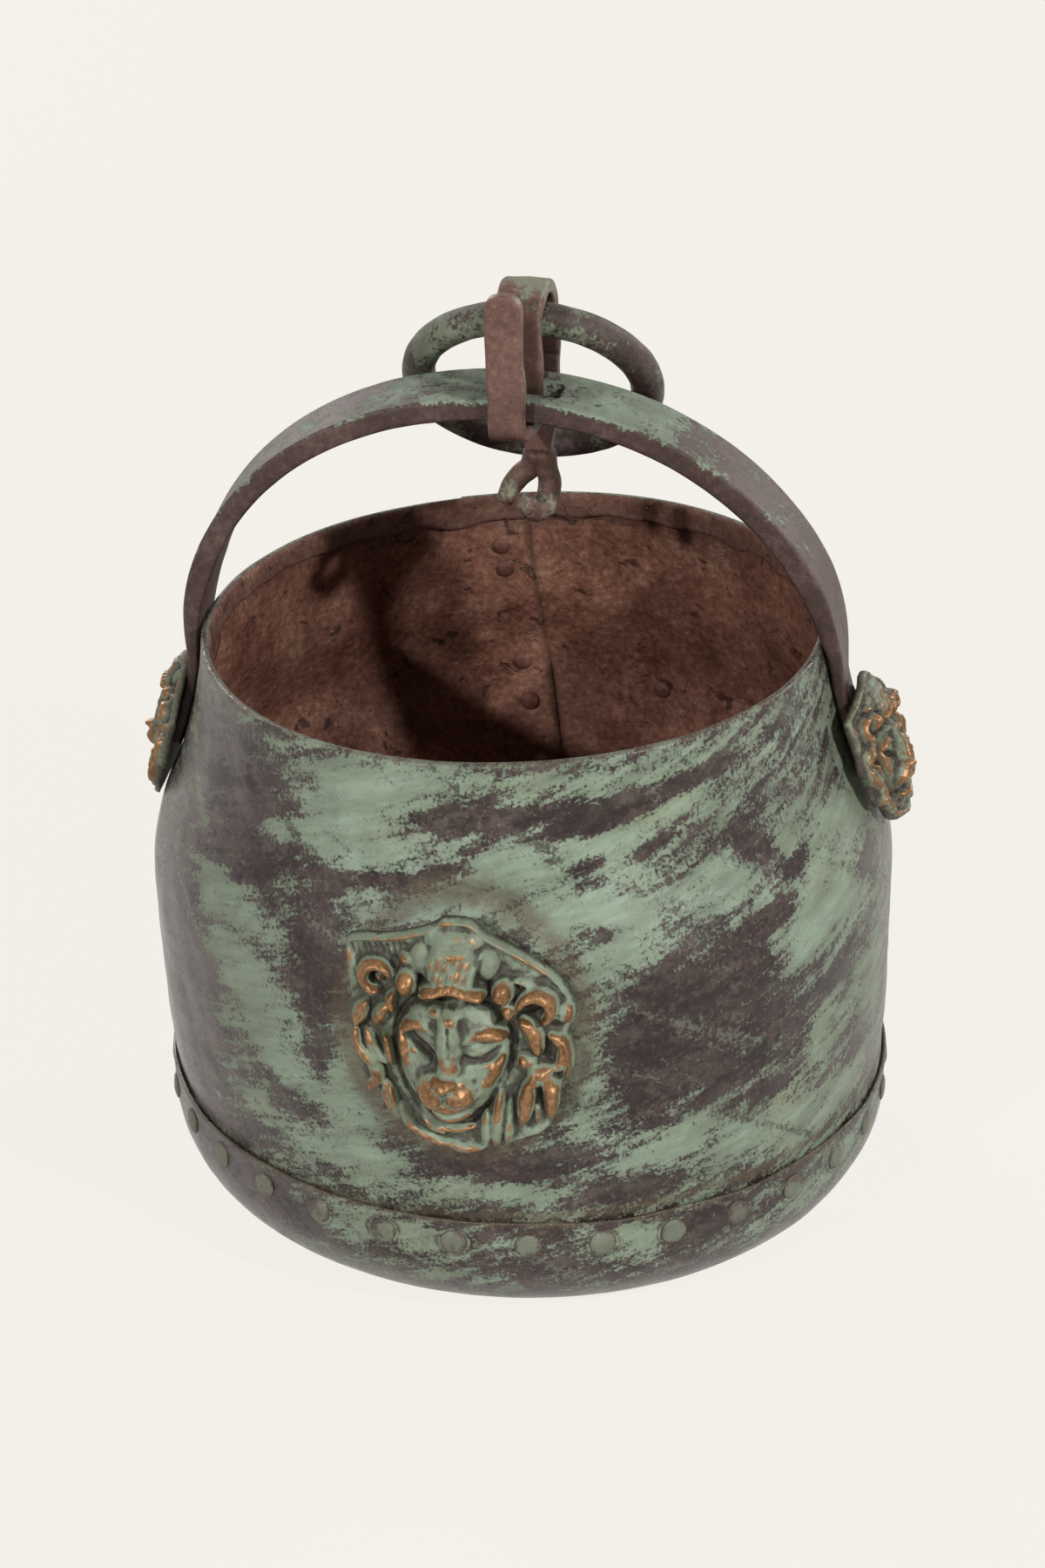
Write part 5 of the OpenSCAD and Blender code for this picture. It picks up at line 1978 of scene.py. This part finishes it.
    # locks down the left side
    for line, half_w, top, parting in (
            (((-45.5, 2.5), (-43, 9), (-40, 15)), 3.9, 11.0, 1.6),
            (((-36.6, 4.5), (-34, 10), (-30.6, 15)), 3.8, 11.4, 1.6),
            (((-45.6, 0.5), (-44, -8), (-38.5, -14), (-36.6, -22), (-41, -28)), 4.2, 12.4, 0.0),
            (((-40.6, 1), (-37.6, -7.5), (-32, -14)), 3.2, 11.0, 1.2),
            (((-32.6, 0), (-31, -6), (-29.5, -15)), 2.6, 10.0, 0.0),
            (((-33, -24), (-31, -33), (-28, -41)), 4.2, 11.0, 2.2),
            (((-26, -34), (-24, -42), (-20, -48)), 3.0, 9.2, 0.0),
            (((-47, 38), (-45, 28), (-47, 18)), 3.0, 7.0, 0.0),
            (((-27, 22), (-29, 17), (-27.6, 12)), 2.8, 10.5, 0.0)):
        r.lock(line, half_w, top, 0.35, parting)
    # locks down the right side, with the big forked one
    for line, half_w, top, parting in (
            (((28.5, 11), (33, 5), (35, -5)), 4.7, 12.8, 0.8),
            (((40, 3), (46, -3), (44, -12), (39, -13)), 3.8, 11.6, 1.0),
            (((47.5, -2), (48, -11), (45.5, -18)), 2.6, 9.6, 0.0),
            (((35.5, -13), (30.5, -24), (27.2, -40)), 4.6, 13.6, 0.0),
            (((35.5, -13), (40, -24), (39.6, -37)), 4.4, 13.0, 0.0),
            (((33.6, -27), (34, -34), (33, -41)), 1.9, 9.8, 0.0),
            (((18.0, -25), (16.6, -38), (15.0, -52)), 3.3, 10.4, 0.0),
            (((22.2, -29), (21.4, -40), (20.0, -51)), 2.7, 9.4, 0.0),
            (((11.4, -35), (11.2, -44), (10.2, -53)), 2.9, 8.4, 0.0),
            (((26, 30), (33, 27), (40, 22)), 2.4, 8.6, 0.0)):
        r.lock(line, half_w, top, 0.4, parting)
    r.blob(30.0, -9.5, 4.8, 4.6, 11.6)
    r.blob(35.5, -15, 6.2, 5.0, 13.6)
    r.groove([(33.5, -22), (33.6, -30)], 1.2, 3.0)
    # beard
    for line in (((-20, -46), (-14, -50), (-7, -52.5)), ((-8, -51), (0, -54.5), (8.5, -54)),
                 ((-12, -41), (-4, -44.5), (5, -43.5)), ((-17, -36), (-13, -43), (-8, -47))):
        r.lock(line, 3.1, 8.6, 0.45)
    # undercut round the face, which parts it from the mane
    r.height = 0.55 * r.height + 0.45 * r.blurred(0.9)
    r.groove([(-6, 20.5), (-18, 17.5), (-26.2, 7), (-27.2, -8), (-24.4, -24), (-18, -37), (-8, -42),
              (4, -41.5), (10.5, -34), (17, -21), (23, -7), (24, 4), (16, 16), (6, 20.5)], 1.5, 2.2)
    r.groove([(-14.5, 32), (-13.8, 26), (-11, 23), (-3, 26), (5, 23.5), (13, 21.5), (15, 28)], 1.1, 2.4)
    # combed edge at the upper left
    for k in range(10):
        u = -46 + 2.7 * k
        v = 41 + 0.16 * (u + 46)
        r.groove([(u, v), (u + 0.9, v - 4.6)], 0.5, 1.1)
    for mark in ((-2.2, 3, 7.5, 11, -0.55, 0), (-2.5, 15, 15, 6, -0.45, 0), (-15, -14, 6, 8, -0.3, 0),
                 (-4.6, -20, 12, 7.5, 0.35, 0), (-21.5, -6, 4, 9, 0.3, 0), (16, -13, 5, 7, 0.35, -40),
                 (-14.4, -1.6, 5.6, 2.6, -1.3, -38), (10.8, -6.2, 6.5, 1.9, -0.8, 10),
                 (-0.6, 35, 9, 11, 0.3, 0), (-4, -37, 9, 5, -0.3, 0), (36, -27, 7, 12, 0.25, 0),
                 (34, 20, 9, 7, 0.2, 0), (-34, 31, 8, 6, 0.1, 0), (16, 34, 8, 8, -0.3, 0),
                 (-36, 42, 12, 4, -0.2, 0), (22, -42, 10, 8, -0.15, 0)):
        r.rub(*mark)
    spots = np.stack([r.u.ravel(), r.v.ravel()], 1)
    r.height += (0.3 * waves(spots, 8, 61) + 0.09 * waves(spots, 3.2, 62)).reshape(r.u.shape)
    return r


@dataclass
class LionMask:
    """One cast mask: where it sits on the wall, its size, and the raised edge of its plate."""

    node: str
    name: str
    turn: float
    rise: float
    width: float
    high: float
    out: float
    seat: float
    tilt: float = 0.0
    swing: float = 0.0
    rows: int = 118
    columns: int = 460
    OUTLINE = ((-4, 58), (7, 57), (15, 50), (26, 43), (37, 35), (45, 27), (50, 17), (50, 9), (47.5, 3),
               (49.5, -9), (48, -19), (43.5, -24), (42, -35), (36, -47), (23, -52.5), (8, -56.5),
               (0, -57), (-9, -55), (-17, -53), (-25, -48), (-31.5, -42), (-35, -33), (-42, -28),
               (-46, -18), (-47, -5), (-49.5, 1), (-49.5, 8), (-48, 17), (-49, 30), (-48.5, 42),
               (-42, 45.5), (-27, 48), (-12, 53))

    def rim(self, turns: Points) -> Points:
        """Radius of the plate's outline at some turns round its middle.

        Args:
            turns: angles in radians.

        Returns:
            The radii.
        """
        p = np.array(self.OUTLINE, float)
        p = smooth_line(np.vstack([p, p[:1]]), 1.0)[:-1]
        a = np.arctan2(p[:, 1], p[:, 0]) % (2 * math.pi)
        order = np.argsort(a)
        return np.interp(turns, a[order], np.hypot(p[:, 0], p[:, 1])[order], period=2 * math.pi)

    def placed(self, u: Points, v: Points, lift: Points) -> Points:
        """Places of the mask's points on the wall.

        Args:
            u: across, to the right as the mask is looked at.
            v: up the mask.
            lift: out from the wall.

        Returns:
            Leaned points in millimetres.
        """
        u, deep = spun(u, np.sqrt(self.seat ** 2 - u ** 2) - self.seat + lift, self.swing)
        out, up = spun(deep, v, self.tilt)
        rad = math.radians(self.turn)
        face, right = np.array([math.sin(rad), -math.cos(rad)]), np.array([math.cos(rad), math.sin(rad)])
        flat = (out + self.seat)[..., None] * face + u[..., None] * right
        return LEAN.place(np.concatenate([flat, (up + self.rise)[..., None]], -1))

    def build(self, relief: Relief, finish: bpy.types.Material) -> bpy.types.Object:
        """Builds the mask with its relief, its edge and its closed back.

        Args:
            relief: the lion's head.
            finish: the old brass.

        Returns:
            The mask.
        """
        turns = np.linspace(0, 2 * math.pi, self.columns, endpoint=False)
        share = np.concatenate([[1e-5], np.linspace(0, 1, self.rows)[1:] ** 0.9])[:, None]
        edge = self.rim(turns)[None]
        cos, sin = np.cos(turns)[None], np.sin(turns)[None]
        u, v = share * edge * cos, share * edge * sin
        ku, kv = self.width / 100, self.high / 114
        depth = self.out / 26.0
        lift = relief.sample(relief.height, u, v)
        raised = 0.42 * ease(relief.height, 9, 21) - 0.12
        crest = relief.sample((relief.height - relief.blurred(2.6)) / 2.6 + raised + relief.wear, u, v)
        near_edge = (1 - share) * edge
        bead = 1.5 * np.exp(-((near_edge - 1.6) / 1.1) ** 2) * ease(v + 0.5 * u, -12, 10)
        lift = np.maximum(lift + bead, 1.2) - 1.6 * np.exp(-(near_edge / 0.8) ** 2)
        lift = np.minimum(lift, 26.0)
        crest = crest + 0.5 * bead - 0.25 * np.exp(-(near_edge / 1.2) ** 2)
        front = self.placed(u * ku, v * kv, lift * depth)
        back_share = np.array([1.0, 0.96, 0.8, 0.5, 1e-5])[:, None]
        bu, bv = back_share * edge * cos, back_share * edge * sin
        back = self.placed(bu * ku, bv * kv, 0 * bu + 0.05)
        grid = np.concatenate([front, back])
        crests = np.concatenate([crest, -0.5 + 0 * bu])
        piece = Skin(grid, values={"crest": crests}).build(self.name, finish)
        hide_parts(self.node)
        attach(piece, "bucket")
        return piece


# ---------------------------------------------------------------- stage

@dataclass
class Stage:
    """Pale floor, soft studio light and the camera."""

    backdrop: tuple[float, ...] = colour(244, 241, 234)
    camera_place: tuple[float, float, float] = (0.2733, -1.7256, 1.0936)
    camera_aim: tuple[float, float, float] = (-0.0035, -0.0004, 0.1932)
    lens: float = 97.3
    floor_glow: float = 1.016
    floor_share: float = 0.93
    # turn and rise in degrees, distance and side in metres, watts
    lamps: tuple[tuple[str, float, float, float, float, float], ...] = (
        ("left_key", -24.0, 28.0, 3.2, 0.12, 46.0), ("right_key", 54.0, 33.0, 3.2, 0.12, 56.0),
        ("front_fill", 8, 20, 3.0, 1.8, 2.8), ("back_left", -140, 24, 3.0, 0.8, 26.0),
        ("back_right", 140, 24, 3.0, 0.8, 26.0))

    def aim(self, thing: bpy.types.Object, target: Sequence[float]) -> None:
        """Turns a lamp or camera towards a point."""
        way = Vector(target) - thing.location
        thing.rotation_euler = way.to_track_quat("-Z", "Y").to_euler()

    def lamp(self, name: str, turn: float, rise: float, far: float, size: float, power: float) -> None:
        """Adds a square area lamp aimed at the bucket.

        Args:
            name: name of the lamp.
            turn: degrees from the front.
            rise: degrees above the floor.
            far: distance in metres.
            size: side in metres.
            power: watts.
        """
        light = bpy.data.lights.new(name, "AREA")
        light.shape, light.size, light.energy = "SQUARE", size, power
        thing = linked(name, light)
        a, e = math.radians(turn), math.radians(rise)
        thing.location = (far * math.sin(a) * math.cos(e), -far * math.cos(a) * math.cos(e),
                          far * math.sin(e) + 0.15)
        self.aim(thing, (0, 0, 0.17))

    def floor(self) -> bpy.types.Object:
        """Wide flat floor that keeps a light shadow of the bucket.

        Returns:
            The floor.
        """
        line = np.linspace(-4000, 4000, 9)
        x, y = np.meshgrid(line, line)
        material = bpy.data.materials.new("pale_floor")
        material.use_nodes = True
        net = Net(material.node_tree)
        net.tree.nodes.clear()
        matt = net.fill(net.add("ShaderNodeBsdfDiffuse"), Color=(0.86, 0.84, 0.80, 1))
        glow = net.fill(net.add("ShaderNodeEmission"), Color=self.backdrop, Strength=self.floor_glow)
        self.seen_as(net, matt, glow, self.floor_share, "ShaderNodeOutputMaterial")
        piece = Skin(np.stack([x, y, 0 * x - 0.2], 2), wrap_columns=False).build("floor", material)
        if piece.data.polygons[0].normal.z < 0:
            piece.data.flip_normals()
        return piece

    @staticmethod
    def seen_as(net: Net, lit: bpy.types.Node, shown: bpy.types.Node, share: float, output: str) -> None:
        """Shows one shader to the camera and reflections, and another to all other rays.

        Args:
            net: the tree.
            lit: shader that other rays meet.
            shown: shader that is seen.
            share: how much of it is seen.
            output: kind of the output node.
        """
        path = net.add("ShaderNodeLightPath").outputs
        seen = path["Is Camera Ray"]
        for other in ("Is Glossy Ray", "Is Transmission Ray"):
            seen = net.math("MAXIMUM", seen, path[other])
        mixer = net.add("ShaderNodeMixShader")
        for socket, value in zip(mixer.inputs, (net.math("MULTIPLY", seen, share), lit.outputs[0],
                                                shown.outputs[0])):
            net.put(socket, value)
        net.fill(net.add(output), Surface=mixer.outputs[0])

    def sky(self) -> None:
        """Weak even light from all round, and a pale backdrop for the camera and reflections."""
        world = bpy.data.worlds.new("studio")
        bpy.context.scene.world = world
        world.use_nodes = True
        net = Net(world.node_tree)
        net.tree.nodes.clear()
        light = net.fill(net.add("ShaderNodeBackground"), Color=(1, 0.99, 0.97, 1), Strength=0.03)
        shown = net.fill(net.add("ShaderNodeBackground"), Color=self.backdrop)
        self.seen_as(net, light, shown, 1.0, "ShaderNodeOutputWorld")

    def build(self) -> None:
        """Builds the whole stage."""
        scene = bpy.context.scene
        scene.view_settings.view_transform = "Standard"
        self.sky()
        self.floor()
        for lamp in self.lamps:
            self.lamp(*lamp)
        data = bpy.data.cameras.new("camera")
        data.lens, data.sensor_width = self.lens, 36.0
        camera = linked("camera", data)
        camera.location = self.camera_place
        self.aim(camera, self.camera_aim)
        scene.camera = camera


BAIL_TONES = BarTones(dark=colour(44, 31, 28), middle=colour(74, 55, 51), light=colour(106, 86, 80),
                      fleck=colour(138, 98, 78), bloom=colour(120, 130, 112),
                      bloom_pale=colour(152, 166, 146), flecks=0.35)
STRAP_TONES = BarTones(dark=colour(76, 54, 48), middle=colour(112, 82, 73), light=colour(140, 106, 92),
                       fleck=colour(186, 136, 104), bloom=colour(124, 122, 104),
                       bloom_pale=colour(146, 150, 130), flecks=0.55)
RING_TONES = BarTones(dark=colour(44, 33, 31), middle=colour(74, 60, 57), light=colour(110, 96, 90),
                      fleck=colour(138, 116, 100), bloom=colour(102, 104, 86),
                      bloom_pale=colour(132, 142, 120), flecks=0.3)


def main() -> None:
    """Builds the stage, the finishes and every piece of the bucket, in order."""
    logging.basicConfig(level=logging.INFO, format="%(name)s %(message)s")
    Stage().build()
    groups = Groups()
    outside = SheetOutside("worn_painted_sheet", groups, 0.45).build()
    inside = SheetInside("rusty_inside", groups, 0.3).build()
    bail_iron = ForgedBar("forged_bail", groups, 0.4, BAIL_TONES).build()
    strap_iron = ForgedBar("forged_strap", groups, 0.4, STRAP_TONES).build()
    ring_iron = ForgedBar("ring_scale", groups, 0.35, RING_TONES).build()
    brass = OldBrass("old_brass", groups, 0.5, 0.22).build()
    dark_brass = OldBrass("old_brass_sooty", groups, 0.5, 0.62).build()
    heads = RivetHeads("rivet_heads_outside", groups, 0.4, Side.OUTSIDE).build()
    tails = RivetHeads("rivet_tails_inside", groups, 0.3, Side.INSIDE).build()
    wall, pan = Wall(), Pan()
    pieces = [wall.build(outside, inside)]
    pan_side = SheetOutside("worn_painted_pan", groups, 0.45, pan.rivet_row()).build()
    pieces += [pan.build(pan_side, inside), *Rivets(wall, pan).build(RivetMaker(), heads, tails)]
    bail = Bail(wall)
    strap = HookStrap(bail)
    pieces += [bail.build(bail_iron), strap.build(strap_iron), CarryingRing(strap).build(ring_iron)]
    belly, side_seat, side_rise = wall.belly_d / 2 + 0.5, 160.3, wall.rim_h - 56
    pieces.append(LionMask("lion_mask_front", "lion_front", 0, wall.belly_h, 100, 114, 26, belly)
                  .build(lion_relief(False), brass))
    open_jaw = lion_relief(True)
    for node, name, turn, seat, swing in (("lion_mask_left", "lion_left", -90, side_seat, 0.0),
                                          ("lion_mask_right", "lion_right", 90, side_seat + 6, 8.0)):
        pieces.append(LionMask(node, name, turn, side_rise, 62, 72, 16, seat, 15.5, swing, rows=76,
                               columns=300).build(open_jaw, dark_brass))
    for piece in pieces:
        log.info("%s: %d faces", piece.name, len(piece.data.polygons))


if __name__ == "__main__":
    main()
